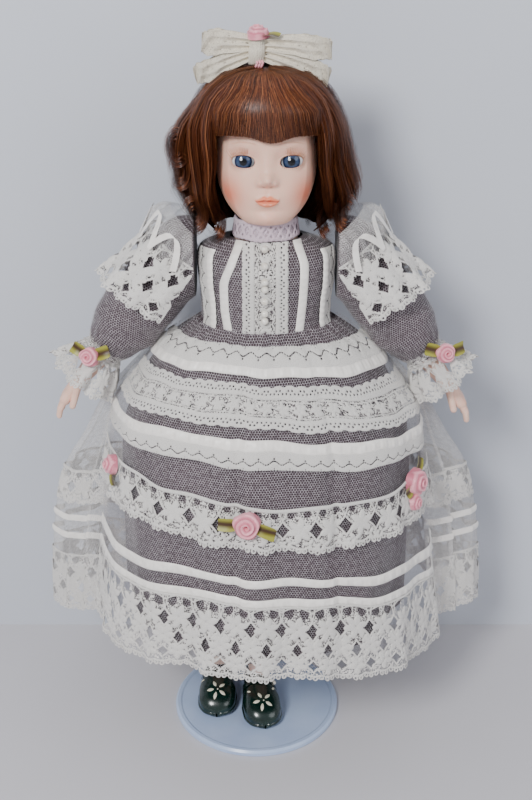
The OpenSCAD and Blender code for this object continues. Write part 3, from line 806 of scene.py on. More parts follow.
def skirt_lace(name, field, material, low, high, base, relief, flare=0.0, stands_for=(), step=0.42,
               flip=False):
    at, u0, width = skirt_band(low, high, base, flare)
    height = high - low
    cut_field = (lambda u, v, h: field(u, h - v, h)) if flip else field
    return lace_piece(name, cut_field, width, height, at, "doll", material, relief, step, u_from=u0,
                      stands_for=stands_for)


ribbon_band("waist_ribbon", 243.4, 248.6, stands_for=["skirt_ribbons"])
skirt_lace("waist_lace", lace_field_waves, LACE, 247.6, 256.4, 0.9, 0.4, stands_for=["skirt_lace_upper"])
skirt_lace("yoke_lace", lace_field_eyelets, LACE, 219, 240, 0.7, 0.45, stands_for=["skirt_lace_wide"])
skirt_lace("yoke_flowers", lace_field_flower_row, LACE, 219, 240, 0.9, 0.5)
skirt_lace("yoke_ground", lambda u, v, h: np.minimum(v - 5.5, h - 5.5 - v), TULLE, 219, 240, 0.6, 0.0,
           step=1.0)
ribbon_band("middle_ribbon", 208.0, 213.8)
skirt_lace("middle_lace", lace_field_waves, LACE, 199.6, 208.8, 0.8, 0.4,
           stands_for=["skirt_lace_scalloped"], flip=True)
skirt_lace("flounce_lace", flounce_motif, LACE, 157, 181, 1.4, 0.55, flare=1.3,
           stands_for=["skirt_lace_flounce"])
skirt_lace("flounce_ground", flounce_ground, TULLE, 157, 181, 1.1, 0.0, flare=1.3, step=0.7)
ribbon_band("upper_stripe", 137.6, 142, stands_for=["skirt_satin_stripes"])
ribbon_band("lower_stripe", 126.4, 131)
skirt_lace("hem_lace", hem_motif, LACE, HEM, 127, 1.2, 0.6, flare=1.1, stands_for=["skirt_hem_lace"])
skirt_lace("hem_ground", hem_ground, TULLE, HEM, 127, 0.9, 0.0, flare=1.1, step=0.7)


# ---- Lace on the fan ----

def fan_band(low):
    """Maps flat lace round the fan, its foot at a height, and gives the length of its run."""
    t = np.linspace(0.0, 1.0, 900)
    line = fan_at(t, low + 12 + 0 * t, 0 * t)
    length = run_length(line)

    def at(u, v, lift):
        place = np.interp(u, length, t)
        sag = 1.5 * np.sin(place * 31)
        return fan_at(place, low + v + sag, lift + 0.8)

    return at, length[-1]


def fan_lace(name, field, material, low, height, relief, step=0.5, **more):
    at, width = fan_band(low)
    return lace_piece(name, field, width, height, at, "doll", material, relief, step, u_from=0.0, **more)


fan_lace("fan_hem_lace", hem_motif, LACE, FAN_HEM, 40, 0.5, stands_for=["back_net_trims"])
fan_lace("fan_hem_ground", hem_ground, TULLE, FAN_HEM, 40, 0.0, step=0.9)
fan_lace("fan_lace", flounce_motif, LACE, 140, 23, 0.5)
fan_lace("fan_ground", flounce_ground, TULLE, 140, 23, 0.0, step=0.9)
for number, low in enumerate((117, 129)):
    at, width = fan_band(low)
    sheet_grid(f"fan_ribbon_{number}", lambda u, v: at(u, v, 0.8 * np.sin(np.pi * v / 4) ** 0.5),
               np.linspace(0, width, 500),
               np.linspace(0, 4, 7), "doll", "satin_white", SATIN, (width, 4))


# ---- Rolled ribbon roses and folded leaves ----

def frame_of(outward, up=(0, 0, 1)):
    """Axes of a small part that faces outward: its right, its up and its outward."""
    out = unit(np.array(outward, float))
    side = unit(np.cross(up, out))
    return side, np.cross(out, side), out


def rose_points(radius, height, turns=3.2, rows=54, columns=110):
    """A rolled ribbon seen from above: a spiral of petal edges over a low dome, with painted shade in the
    groove before each petal edge.
    """
    r = np.linspace(0.0, 1.0, rows)[:, None]
    angle = np.linspace(0, 2 * np.pi, columns, endpoint=False)[None]
    wobble = 0.05 * np.sin(3 * angle + 0.5) + 0.03 * np.sin(5 * angle + 1.9)
    place = turns * (r * (1 + wobble)) ** 0.85 - angle / (2 * np.pi) + 0.03 * np.sin(4 * angle)
    along = place % 1.0
    lip = along ** 2.2 * (1 - np.clip((along - 0.93) / 0.07, 0, 1))
    dome = height * (1 - 0.8 * r ** 2.4) * (0.45 + 0.55 * np.clip(r * 5, 0, 1))
    z = dome + height * 0.3 * lip * np.clip(r * 4, 0.3, 1) - height * 0.5 * np.clip((r - 0.94) / 0.06, 0, 1)
    rim = radius * r * (1 + wobble * 1.2)
    points = np.stack([rim * np.cos(angle), rim * np.sin(angle), z], -1).reshape(-1, 3)
    # Painted shade: each turn is darker where it sinks into the groove before the next petal edge.
    groove_shade = (0.62 + 0.38 * np.clip(lip * 1.4 + 0.2, 0, 1)) * np.ones_like(angle)
    return points, grid_faces(rows, columns, wrap=True), np.repeat(groove_shade.reshape(-1, 1), 3, axis=1)


def leaf_points(length, width, curl=0.8, bend=0.0, rows=9, columns=16):
    """A ribbon folded into a flat loop: square-ended, with a raised fold down its middle."""
    t = np.linspace(0, 1, columns)[None]
    s = np.linspace(-1, 1, rows)[:, None]
    half = (width / 2 * (0.72 + 0.28 * np.clip(t * 3, 0, 1))
            * (1 - 0.16 * np.clip((t - 0.85) / 0.15, 0, 1) ** 2))
    x = length * t + 0 * s
    y = half * s + bend * t**2 * length
    z = curl * (0.9 * np.sin(np.pi * t) + 0.5 * s**2 - 0.35 * np.cos(3 * s)) + 0 * x
    return (np.stack([x, y, z], -1).reshape(-1, 3), grid_faces(rows, columns),
            np.stack([x, y], -1).reshape(-1, 2))


def placed(points, centre, axes):
    """Points of a small part put at its place, along its axes."""
    side, up, out = axes
    return np.asarray(centre) + points[:, :1] * side + points[:, 1:2] * up + points[:, 2:] * out


def turned(points, degrees):
    """Points turned about their own Z."""
    c, s = math.cos(math.radians(degrees)), math.sin(math.radians(degrees))
    return points @ np.array([[c, s, 0], [-s, c, 0], [0, 0, 1]])


def make_rose_material():
    s = Shade("rose_satin", Roughness=0.42, Sheen_Weight=0.3, Sheen_Roughness=0.4, Specular_IOR_Level=0.35)
    paint = s.node("Attribute", attribute_name="Paint")
    where = s.place()
    streak = s.noise(where, 0.9, 3)
    pink = s.ramp(streak, (0.3, srgb(232, 150, 166)), (0.7, srgb(246, 178, 188)))
    # Painted shade: the deep pink is laid where the paint attribute darkens the grooves between the turns.
    deep = srgb(176, 74, 98)
    shade = s.node("SeparateColor", {0: paint})
    s.link(Base_Color=s.mix(s.node("MapRange", {"Value": shade, "From Min": 0.6, "From Max": 0.9}), deep,
                            pink))
    s.bump(streak, 0.3, 0.2)
    return s.material


def make_leaf_material():
    """Olive ribbon, with painted shade turning it brown down its sunken middle and painted light making it
    bright toward its raised edges.
    """
    s = Shade("leaf_satin", Roughness=0.38, Sheen_Weight=0.2, Specular_IOR_Level=0.4)
    uv = s.node("TexCoord", out=2)
    across = s.math("ABSOLUTE", s.node("SeparateXYZ", {0: uv}, out=1))
    streak = s.node("TexNoise", {"Vector": s.vector("MULTIPLY", uv, (0.4, 5, 1)), "Scale": 1.0,
                                 "Detail": 3.0})
    # Painted shade and light: darker across the middle of the loop, lighter toward its edges.
    edge = s.math("ADD", s.math("MULTIPLY", across, 0.3), s.math("MULTIPLY", streak, 0.35))
    s.link(Base_Color=s.ramp(edge, (0.3, srgb(62, 38, 14)), (0.55, srgb(96, 88, 24)),
                             (0.95, srgb(150, 148, 52))))
    s.bump(streak, 0.3, 0.2)
    return s.material


ROSE, LEAF = make_rose_material(), make_leaf_material()


def rose_set(spots, rose_name, leaf_name, body, rose_node, leaf_node):
    """Roses with leaves. A spot: centre, outward direction, radius, tilt, [(turn, length, bend)]."""
    roses, leaves = Batch(), Batch()
    for centre, outward, radius, tilt, leaf_list in spots:
        axes = frame_of(outward)
        points, faces, groove_shade = rose_points(radius, radius * 0.75)
        roses.add(placed(turned(points, tilt), np.array(centre) + axes[2] * 1.2, axes), faces, colour=groove_shade)
        for turn, length, bend in leaf_list:
            points, faces, uv = leaf_points(length, 7.0, bend=bend)
            points[:, 0] += radius * 0.62
            leaves.add(placed(turned(points, turn), np.array(centre) + axes[2] * 1.0, axes), faces, uv=uv)
    roses.piece(rose_name, body, "ribbon_pink", ROSE, stands_for=rose_node)
    leaves.piece(leaf_name, body, "ribbon_olive", LEAF, stands_for=leaf_node)


def skirt_spot(phi_degrees, z, lift=2.4):
    """A place on the skirt for a rose, and the way it faces."""
    phi, z = np.array([math.radians(phi_degrees)]), np.array([float(z)])
    here = skirt_at(phi, hang(phi, z), np.array([lift]))[0]
    beside = skirt_at(phi + 0.05, hang(phi + 0.05, z), np.array([lift]))[0]
    above = skirt_at(phi, hang(phi, z + 4), np.array([lift]))[0]
    return on_doll(here), np.cross(beside - here, above - here)


rose_spots = []
for turn, height, radius, tilt, leaf_list in (
    (-6, 171.5, 7.2, 20, [(178, 10.5, 0.02), (-14, 11, -0.12)]),
    (-66, 176, 5.8, 70, [(-60, 8, 0.1), (170, 6, 0)]),
    (62, 178, 7.4, 140, [(52, 9.5, 0.05), (200, 6, 0)]),
    (60, 168, 4.6, 10, []),
):
    centre, outward = skirt_spot(turn, height)
    rose_spots.append((centre, outward, radius, tilt, leaf_list))
rose_set(rose_spots, "skirt_roses_satin", "skirt_leaves_satin", "doll", ["skirt_roses"], ["skirt_leaves"])


# ---- Bodice ----

BODICE_ASPECT = 1.23
bodice_depth = smooth_curve([(258, 29.5), (264, 28.3), (276, 27.6), (288, 27.8), (294, 26.2), (300, 22.0),
                             (306, 15.5)])
bodice_width = smooth_curve([(258, 36.0), (264, 34.8), (274, 35.2), (284, 36.6), (296, 36.9), (300, 35.6),
                             (303, 31), (306, 19.5)])


def bodice_at(phi, z, lift):
    """A point of the bodice: phi turns from the centre front toward +X."""
    deep = bodice_depth(z)
    wide = bodice_width(z)
    rise = 0.55 * np.clip((z - 290) / 12, 0, 1)
    n = unit(np.stack([np.sin(phi) / wide, -np.cos(phi) / deep, rise / deep + 0 * phi], -1))
    shell = np.stack([wide * np.sin(phi), -deep * np.cos(phi), z + 0 * phi], -1)
    return shell + n * np.asarray(lift)[..., None]


def bodice_folds(phi, z):
    """Gathers at the waist and a little slack in the cloth."""
    return 0.35 * np.cos(26 * phi) * np.clip((272 - z) / 12, 0, 1) + 0.25 * np.sin(7 * phi + z * 0.3)


sheet_grid("bodice_cloth", lambda phi, z: bodice_at(phi, z, -0.5 + bodice_folds(phi, z)),
           np.linspace(-np.pi, np.pi, 241),
           np.linspace(260, 306, 40), "doll", "dress_dark", LINING, (190, 46),
           stands_for=["bodice"])
sheet_grid("bodice_net", lambda phi, z: bodice_at(phi, z, 0.1 + bodice_folds(phi, z)),
           np.linspace(-np.pi, np.pi, 241),
           np.linspace(260, 305.5, 40), "doll", "net_white", NET, (190, 46))


def bodice_front(x, z, lift):
    """A point of the bodice straight behind (x, z) as seen from the front."""
    wide = bodice_width(z)
    return bodice_at(np.arcsin(np.clip(x / wide, -0.999, 0.999)), z, lift)


def bodice_strip(name, centre, width, low, high, material, slot, thick, stands_for=()):
    """A ribbon down the bodice along a curve x = centre(z)."""
    middle = smooth_curve(centre)

    def at(u, v):
        crown = thick * np.sin(np.pi * np.clip(v / width, 0, 1)) ** 0.5
        pucker = 0.18 * np.sin(u * 1.7) + 0.12 * np.sin(u * 4.1)
        return bodice_front(middle(u) + v - width / 2, u, 0.45 + crown + pucker * np.sin(np.pi * v / width))

    return sheet_grid(name, at, np.linspace(low, high, 60), np.linspace(0, width, 9), "doll", slot, material,
                      (high - low, width), stands_for=stands_for)


bodice_strip("bodice_ribbon_left", [(260, -19.5), (272, -21.3), (284, -21.6), (296, -17.6), (306, -13)],
             4.4, 261, 305.6, SATIN, "satin_white", 0.8, ["bodice_ribbons"])
bodice_strip("bodice_ribbon_right", [(260, 17.2), (279, 19.0), (294, 19.6), (306, 15.6)], 4.4, 261, 305.6,
             SATIN, "satin_white", 0.8)


# The placket's lace runs between these heights
STRIP_LOW, STRIP_HIGH = 260.5, 305.5


def bodice_lace(name, field, material, x_low, width, low, high, lift, relief, step=0.4, stands_for=()):
    """Lace laid lengthwise down the bodice: its height runs across the front."""
    def at(u, v, rise):
        return bodice_front(x_low + v, high - u, lift + rise)

    return lace_piece(name, field, high - low, width, at, "doll", material, relief, step, held="laid",
                      u_from=0.0, stands_for=stands_for)


def placket_field(u, v, height):
    """A pierced strip with a scalloped outer edge."""
    pitch = 6.2
    near = repeat(u, pitch)
    solid = np.minimum(v - 0.8 + 0.8 * np.abs(np.cos(math.pi * u / pitch)), height - v)
    holes = [dot(np.abs(near), v, 0.95, 2.3, 0.5), dot(np.abs(near), v, 2.2, 3.5, 0.48),
             dot(near, v, 0.0, 3.8, 0.42)]
    return union(without(solid, *holes), dot(repeat(u, pitch / 4), v, 0, 0.5, 0.5))


bodice_lace("placket_left", placket_field, LACE, -12.2, 6.4, STRIP_LOW, STRIP_HIGH, 0.7, 0.4,
            stands_for=["bodice_placket"])
bodice_lace("placket_right", lambda u, v, h: placket_field(u, h - v, h), LACE, 5.0, 6.4, STRIP_LOW,
            STRIP_HIGH, 0.7, 0.4)
bodice_lace("placket_ground", lambda u, v, h: np.minimum(v, h - v), TULLE, -6.2, 12.0, STRIP_LOW,
            STRIP_HIGH, 0.55, 0.0, step=1.0)
bodice_lace("placket_middle", lambda u, v, h: union(
    petals(repeat(u, 8.4), v, 0, h / 2, 4, 3.6, 2.0, 0.78),
    0.35 - np.abs(np.abs(v - h / 2) - 3.9 - 0.5 * np.cos(2 * math.pi * u / 4.2)),
), LACE, -6.2, 12.0, STRIP_LOW, STRIP_HIGH, 0.8, 0.4)

pearls = Batch()
for z in (268, 272, 278.5, 285, 289, 296, 302.5):
    spot = bodice_front(np.array([-0.6]), np.array([float(z)]), 2.6)[0]
    points, faces = ball(on_doll(spot), 1.95, 12, 18)
    pearls.add(points, faces)


PEARL = make_mottled("pearl", srgb(214, 206, 190), srgb(246, 242, 234), (2.0, 3), 0.1, 0.1, Roughness=0.16,
                     Coat_Weight=0.8, Coat_Roughness=0.08, Specular_IOR_Level=0.6, Sheen_Weight=0.2)
pearls.piece("placket_pearl_beads", "doll", "pearl", PEARL, stands_for=["placket_pearls"])


def side_strip(name, field, material, from_deg, width, low, high, lift, relief, side, step=0.4,
               stands_for=()):
    """Lace down the side of the bodice beside the armhole; its flat edge is nearest the centre."""
    start = math.radians(from_deg)

    def at(u, v, rise):
        z = high - u
        phi = side * (start + v / (BODICE_ASPECT * bodice_depth(z) * 0.93))
        return bodice_at(phi, z, lift + rise)

    return lace_piece(name, field, high - low, width, at, "doll", material, relief, step, held="laid",
                      u_from=0.0, stands_for=stands_for)


for side, first in ((LEFT, 47), (RIGHT, 52)):
    tag = SIDE_NAMES[side]
    side_strip(f"armhole_lace_{tag}", lace_field_waves, LACE, first + 5, 9, 260.5, 301, 0.9, 0.4, side,
               stands_for=["bodice_side_trim"] if side == LEFT else ())
    sheet_grid(f"armhole_ribbon_{tag}", lambda z, v: bodice_at(
        side * (math.radians(first) + v / 33), z, 1.0 + 0.8 * np.sin(np.pi * v / 4.6) ** 0.5
        + 0.15 * np.sin(z * 1.9)),
        np.linspace(260.5, 301, 60), np.linspace(0, 4.6, 9), "doll", "satin_white", SATIN, (41, 4.6))


# ---- Collar ----

COLLAR_RADIUS, COLLAR_HEIGHT, COLLAR_Z = 16.8, 9.6, 306.2

def collar_field(u, v, height):
    """Open lace with lozenge holes and a scalloped edge."""
    pitch = 5.2
    x, y = repeat(u, pitch), repeat(u, pitch, pitch / 2)
    body = np.minimum(v - 0.5 + 0.5 * np.abs(np.cos(2 * math.pi * u / pitch)), height - v)
    return without(body, diamond(x, v, 0, height * 0.5, 1.7, 2.4, 1.0), dot(y, v, 0, height * 0.26, 0.6),
                   dot(y, v, 0, height * 0.76, 0.6))


def collar_at(u, v, lift):
    """A point of the collar: u round the neck, v up it."""
    low_r, high_r = COLLAR_RADIUS + 0.8, COLLAR_RADIUS - 0.8
    phi = u / COLLAR_RADIUS
    r = low_r + (high_r - low_r) * v / COLLAR_HEIGHT + lift
    return np.stack([r * np.sin(phi), -r * np.cos(phi), COLLAR_Z + v + 0.3 * np.sin(phi * 7)], -1)


lace_piece("collar_lace", collar_field, 2 * math.pi * COLLAR_RADIUS, COLLAR_HEIGHT, collar_at, "doll",
           LILAC, 0.5, 0.35, slot="collar_lilac", stands_for=["neck_collar"], held="stretched")
lace_piece("collar_ground", lambda u, v, h: np.minimum(v, h - v), 2 * math.pi * COLLAR_RADIUS, COLLAR_HEIGHT,
           lambda u, v, lift: collar_at(u, v, lift - 0.5), "doll", LILAC_TULLE, 0.0, 1.0,
           slot="collar_lilac", held="stretched")


# ---- Sleeves ----

PIVOT_X, PIVOT_Z = 43.0, 297.0
# Radii at which the shoulder flounce and the cuff are laid out flat, and the cuff seam's place on the arm
FLOUNCE_ROUND, CUFF_ROUND, CUFF_S = 25.0, 24.0, 73.0
ARM_ANGLE = {LEFT: math.radians(39), RIGHT: math.radians(37)}
ARM_SIDE = 37.4
sleeve_radius = smooth_curve([(-19, 3), (-16, 10), (-8, 16.5), (4, 19), (26, 19.8), (50, 18.8), (66, 14.2),
                              (73, 9.8), (78, 9.4)])


def arm_axes(side):
    """The shoulder pivot, and the arm's own down, outward and back directions."""
    a = ARM_ANGLE[side]
    down = np.array([side * math.sin(a), 0, -math.cos(a)])
    outward = np.array([side * math.cos(a), 0, math.sin(a)])
    return np.array([side * PIVOT_X, 0, PIVOT_Z]), down, outward, np.array([0.0, 1.0, 0.0])


def arm_at(side, s, turn, r):
    """A point beside the arm: s along it, turn from its outer side (0) toward the back (+90)."""
    origin, down, outward, back = arm_axes(side)
    s, turn, r = (np.asarray(q, float)[..., None] for q in (s, turn, r))
    return origin + down * s + (np.cos(turn) * outward + np.sin(turn) * back) * r


def beside_bodice(points, side):
    """Keeps the arm's dress from reaching into the side of the bodice."""
    x = points[..., 0]
    limit = side * ARM_SIDE
    points[..., 0] = np.maximum(x, limit) if side == RIGHT else np.minimum(x, limit)
    return points


def sleeve_wrinkles(s, turn):
    """Diagonal drag lines, and gathers into the cuff and the armhole."""
    drag = 0.9 * np.sin(s * 0.16 + 2.2 * turn) + 0.6 * np.sin(s * 0.33 - 3.1 * turn + 1.0)
    gather = 0.8 * np.cos(15 * turn) * (np.exp(-((s - 73) / 9) ** 2) + 0.6 * np.exp(-((s + 4) / 9) ** 2))
    return drag * np.clip(np.minimum(s + 12, 72 - s) / 22, 0, 1) * 0.8 + gather * 0.9


def sleeve_at(side, lift):
    def at(turn, s):
        r = np.minimum(sleeve_radius(s) + sleeve_wrinkles(s, turn), sleeve_radius(s) + 1.6) + lift
        return beside_bodice(arm_at(side, s, turn, r), side)

    return at


for side in (LEFT, RIGHT):
    tag = SIDE_NAMES[side]
    body = f"arm_{tag}"
    turns = np.linspace(-np.pi, np.pi, 121)
    sheet_grid(f"sleeve_cloth_{tag}", sleeve_at(side, -0.7), turns, np.linspace(-17, 74, 110), body,
               "dress_dark", LINING, (122, 92), stands_for=[f"sleeve_{tag}"])
    sheet_grid(f"sleeve_net_{tag}", sleeve_at(side, 0.0), turns, np.linspace(-17, 76, 110), body,
               "net_white", NET, (122, 92))

    flounce_r = smooth_curve([(-14, 19.4), (-6, 22.2), (6, 23.4), (20, 25.6), (37, 28.4)])

    def flounce_at(u, v, lift, side=side):
        """u runs round the arm, v from the free edge up to the seam."""
        s = 36.0 - v
        turn = u / FLOUNCE_ROUND
        free = np.clip((s + 4) / 40, 0, 1)
        wave = 1.6 * free * (np.cos(11 * turn + 0.4) + 0.4 * np.cos(19 * turn))
        dip = 3.5 * np.cos(turn * 1.3)
        return beside_bodice(arm_at(side, s + dip * free, turn, flounce_r(s) + wave + lift), side)

    span = 2 * FLOUNCE_ROUND * math.radians(112)
    lace_piece(f"flounce_lace_{tag}", hem_motif, span, 37, flounce_at, body, LACE, 0.5, 0.42,
               stands_for=[f"shoulder_flounce_{tag}"])
    lace_piece(f"flounce_ground_{tag}", hem_ground, span, 37, lambda u, v,
               lift: flounce_at(u, v, lift - 0.4), body, TULLE, 0.0, 0.8)

    def puff_at(turn, t, side=side):
        """A gathered roll of sheer net that stands up over the shoulder seam."""
        swell = np.sin(np.pi * np.clip(t, 0, 1))
        s = -15 + 22 * t
        wave = (1.5 * np.cos(17 * turn) + 1.0 * np.cos(29 * turn + 1.0)) * swell
        r = 20.5 + 5.5 * swell * (0.75 + 0.25 * np.cos(turn)) + wave * 0.8
        return beside_bodice(arm_at(side, s - 2.5 * swell, turn, r), side)

    sheet_grid(f"shoulder_puff_{tag}", puff_at, np.linspace(-1.75, 1.75, 161), np.linspace(0, 1, 22), body,
               "net_white", SHEER, (150, 40))

    ribbons = Batch()
    for around, lean, reach in ((-1.15, 0.5, 15), (-0.55, -0.35, 18), (0.1, 0.3, 15)):
        t = np.linspace(0, 1, 36)[:, None]
        across = np.linspace(-1.6, 1.6, 4)[None]
        s_loop = 6 - reach * np.sin(np.pi * t) + across * np.cos(np.pi * t) * lean
        turn_loop = around + lean * (t - 0.5) * 1.5 + across / 27
        r_loop = 25.0 + 3.0 * np.sin(np.pi * t) + 0 * across
        loop_points = beside_bodice(arm_at(side, s_loop, turn_loop, r_loop), side)
        ribbons.add(on_doll(loop_points.reshape(-1, 3)), grid_faces(36, 4),
                    uv=np.stack([t * 40 + 0 * across, across + 0 * t], -1).reshape(-1, 2))
    ribbons.piece(f"shoulder_ribbons_{tag}", body, "satin_white", SATIN)

    def cuff_at(u, v, lift, side=side):
        """Cuff lace: gathered at the wrist (v = 22), spreading over the hand (v = 0)."""
        t = np.clip((22.0 - v) / 22.0, 0, 1)
        turn = u / CUFF_ROUND
        r = 9.6 + 10.0 * t**0.75 + (0.5 + 2.6 * t) * (np.cos(9 * turn + 0.6) * 0.75
                                                      + 0.35 * np.cos(16 * turn))
        s = CUFF_S + 1.5 + 19.0 * t**1.15 + 1.4 * t * np.sin(9 * turn)
        return arm_at(side, s, turn, r + lift)

    round_cuff = 2 * math.pi * CUFF_ROUND
    lace_piece(f"cuff_frill_{tag}", flounce_motif, round_cuff, 22, cuff_at, body, LACE, 0.5, 0.42,
               stands_for=[f"cuff_lace_{tag}"])
    lace_piece(f"cuff_ground_{tag}", flounce_ground, round_cuff, 22, lambda u, v,
               lift: cuff_at(u, v, lift - 0.3), body, TULLE, 0.0, 0.8)
    sheet_grid(f"cuff_heading_{tag}", lambda turn, t: arm_at(side, CUFF_S - 5 + 8 * t, turn,
               10.6 + 3.0 * np.abs(t - 0.5) + 1.1 * np.cos(21 * turn) * np.abs(t - 0.5) * 2),
               np.linspace(-np.pi, np.pi, 200), np.linspace(0, 1, 10), body, "lace_white", TULLE, (150, 13))

    origin, down, outward, back = arm_axes(side)
    rose_out = -back * 0.93 + outward * 0.35
    centre = on_doll(arm_at(side, CUFF_S + 2.0, math.radians(-70 if side == LEFT else -50), 15.5))
    rose_set([(centre, rose_out, 5.4, 30, [(20 if side == LEFT else 160, 8.5, 0.05),
                                           (150 if side == LEFT else 10, 8, 0.1)])],
             f"cuff_rose_satin_{tag}", f"cuff_leaves_satin_{tag}", body, [f"cuff_rose_{tag}"],
             [f"cuff_leaves_{tag}"])


# ---- Head ----

EYE_X, EYE_Y, EYE_Z = 11.9, -16.0, 348.8
EYE_WIDE, EYE_TALL = 5.7, 3.25
# The radius of the ball the lids lie on and of the eye, the face's shift to +X, and where the lips part
LID_RADIUS, EYE_RADIUS, FACE_X, MOUTH_Z = 8.0, 7.45, 0.7, 329.8

# Rows of the head: height, half width, depth in front of the neck's axis, depth behind it
head_rows = np.array([
    (298, 10.4, 9.4, 10.4), (306, 9.9, 8.9, 10), (313, 10.1, 9.4, 10.4), (314.8, 12.0, 14.0, 11.0),
    (315.6, 13.2, 19.5, 12.2),
    (317.4, 15.2, 22.6, 13.5), (321, 18.6, 24.0, 15.5), (327, 22.3, 24.6, 18.5), (335, 25.0, 25.0, 21.5),
    (343, 26.0, 25.4, 23.4), (351, 26.0, 25.7, 24.8), (359, 25.4, 26.0, 25.4), (367, 23.9, 25.2, 25.2),
    (374, 20.8, 22.6, 22.5), (380, 15.4, 16.8, 16.6), (383.4, 8.6, 9.4, 8.8), (384.4, 0.6, 0.6, 0.6),
])
row_step = np.concatenate([[0], np.cumsum(np.hypot(np.diff(head_rows[:, 0]), np.diff(head_rows[:, 2])))])
head_z, head_wide, head_front, head_back = (smooth_curve(list(zip(row_step, head_rows[:, k])))
                                            for k in range(4))


def bell(x, z, cx, cz, wx, wz):
    """A soft bump of height 1."""
    return np.exp(-((x - cx) / wx) ** 2 - ((z - cz) / wz) ** 2)


def upper_lip(x):
    """Height of the upper edge of the painted mouth: a cupid's bow."""
    a = np.abs(x) / 6.3
    return 331.9 + 0.75 * np.exp(-((np.abs(x) - 1.7) / 1.2) ** 2) - 1.7 * a**2.2


def lower_lip(x):
    """Height of the lower edge of the painted mouth."""
    return 326.6 + 2.9 * (np.abs(x) / 5.9) ** 2.1


def face_relief(x, z):
    """How far the face stands out from its plain oval."""
    a = np.abs(x)
    nose = 4.9 * bell(x, z, 0, 339.9, 3.7, 3.1) + 1.5 * bell(a, z, 4.3, 338.7, 1.5, 1.8)
    bridge = 2.2 * np.exp(-(x / 3.5) ** 2) * np.clip((z - 339) / 4, 0, 1) * np.clip((357 - z) / 14, 0, 1)
    under_nose = -0.8 * bell(x, z, 0, 336.2, 4.2, 1.0)
    sockets = -1.7 * bell(a, z, EYE_X, EYE_Z + 0.6, 6.6, 4.6) - 0.8 * bell(a, z, 5.6, 350.5, 2.0, 3.0)
    brow = 0.7 * bell(a, z, 11, 357.6, 8, 2.6)
    cheeks = 1.5 * bell(a, z, 12.5, 334.5, 6.5, 6.5)
    muzzle = 1.9 * bell(x, z, 0, 330, 7.0, 5.2)
    inside = np.clip(1 - (a / 6.4) ** 4, 0, 1)
    top = np.exp(-((z - (upper_lip(x) + 329.9) / 2) / 1.0) ** 2) * 1.2 * inside
    bottom = np.exp(-((z - (lower_lip(x) + 329.6) / 2) / 1.3) ** 2) * 1.5 * inside
    parting = -1.1 * np.exp(-((z - MOUTH_Z + 0.012 * x * x) / 0.42) ** 2) * inside
    philtrum = -0.4 * bell(x, z, 0, 334, 0.9, 1.7)
    chin = 1.7 * bell(x, z, 0, 319.8, 5.5, 3.0) - 0.9 * bell(x, z, 0, 324.2, 6.0, 1.5)
    return (
        nose + bridge + under_nose + sockets + brow + cheeks + muzzle + top + bottom + parting + philtrum
        + chin
    )


def head_at(u, v):
    """u in -1..1 runs round the head from the back past the face (0); v is the distance along its profile."""
    turn = np.pi * (0.5 * u + 0.5 * u**3)
    z = head_z(v)
    wide, front, back = head_wide(v), head_front(v), head_back(v)
    square = 0.94 + 0.06 * np.abs(np.cos(2 * turn))
    x = wide * np.sin(turn) / square
    facing = np.clip(np.cos(turn) * 1.6, 0, 1)
    y = -np.where(np.cos(turn) > 0, front, back) * np.cos(turn) / square
    x = np.clip(x, -wide, wide)
    depth = -y + face_relief(x, z) * facing
    for side in (LEFT, RIGHT):
        far = (x - side * EYE_X) ** 2 + (z - EYE_Z) ** 2
        lid = -EYE_Y + np.sqrt(np.maximum(LID_RADIUS**2 - far, 1e-6))
        close = np.clip((LID_RADIUS - np.sqrt(far)) / 2.4, 0, 1) * facing
        lid = np.where(far < LID_RADIUS**2, lid, -50)
        soft = np.log(np.exp(np.clip((depth - 20) / 0.5, -60, 60))
                      + np.exp(np.clip((lid - 20) / 0.5, -60, 60))) * 0.5 + 20
        depth = depth * (1 - close) + np.maximum(soft, depth) * close
    return np.stack([x, -depth, z], -1)


def eye_opening(x, z):
    """Positive inside the almond opening of either eye."""
    a = (np.abs(x) - EYE_X) / EYE_WIDE
    lift = 0.25 * a
    up = np.where(z > EYE_Z, (z - EYE_Z - lift) / EYE_TALL, (z - EYE_Z - lift) / (EYE_TALL * 0.92))
    return (1 - np.abs(a) ** 2.3 - np.abs(up) ** 2.0) * EYE_TALL * 0.6


def head_field(u, v):
    """Positive on the head's skin, negative in the eye openings."""
    p = head_at(u, v)
    return np.where(p[..., 1] < -8, -eye_opening(p[..., 0], p[..., 2]), 5.0)


def linear(r, g, b):
    """A paint colour from 0-255 values."""
    return np.array(srgb(r, g, b)[:3])


def blend_paint(base, colour, amount):
    """Paint laid over paint, thicker where amount is higher."""
    return base * (1 - amount[:, None]) + np.asarray(colour) * amount[:, None]


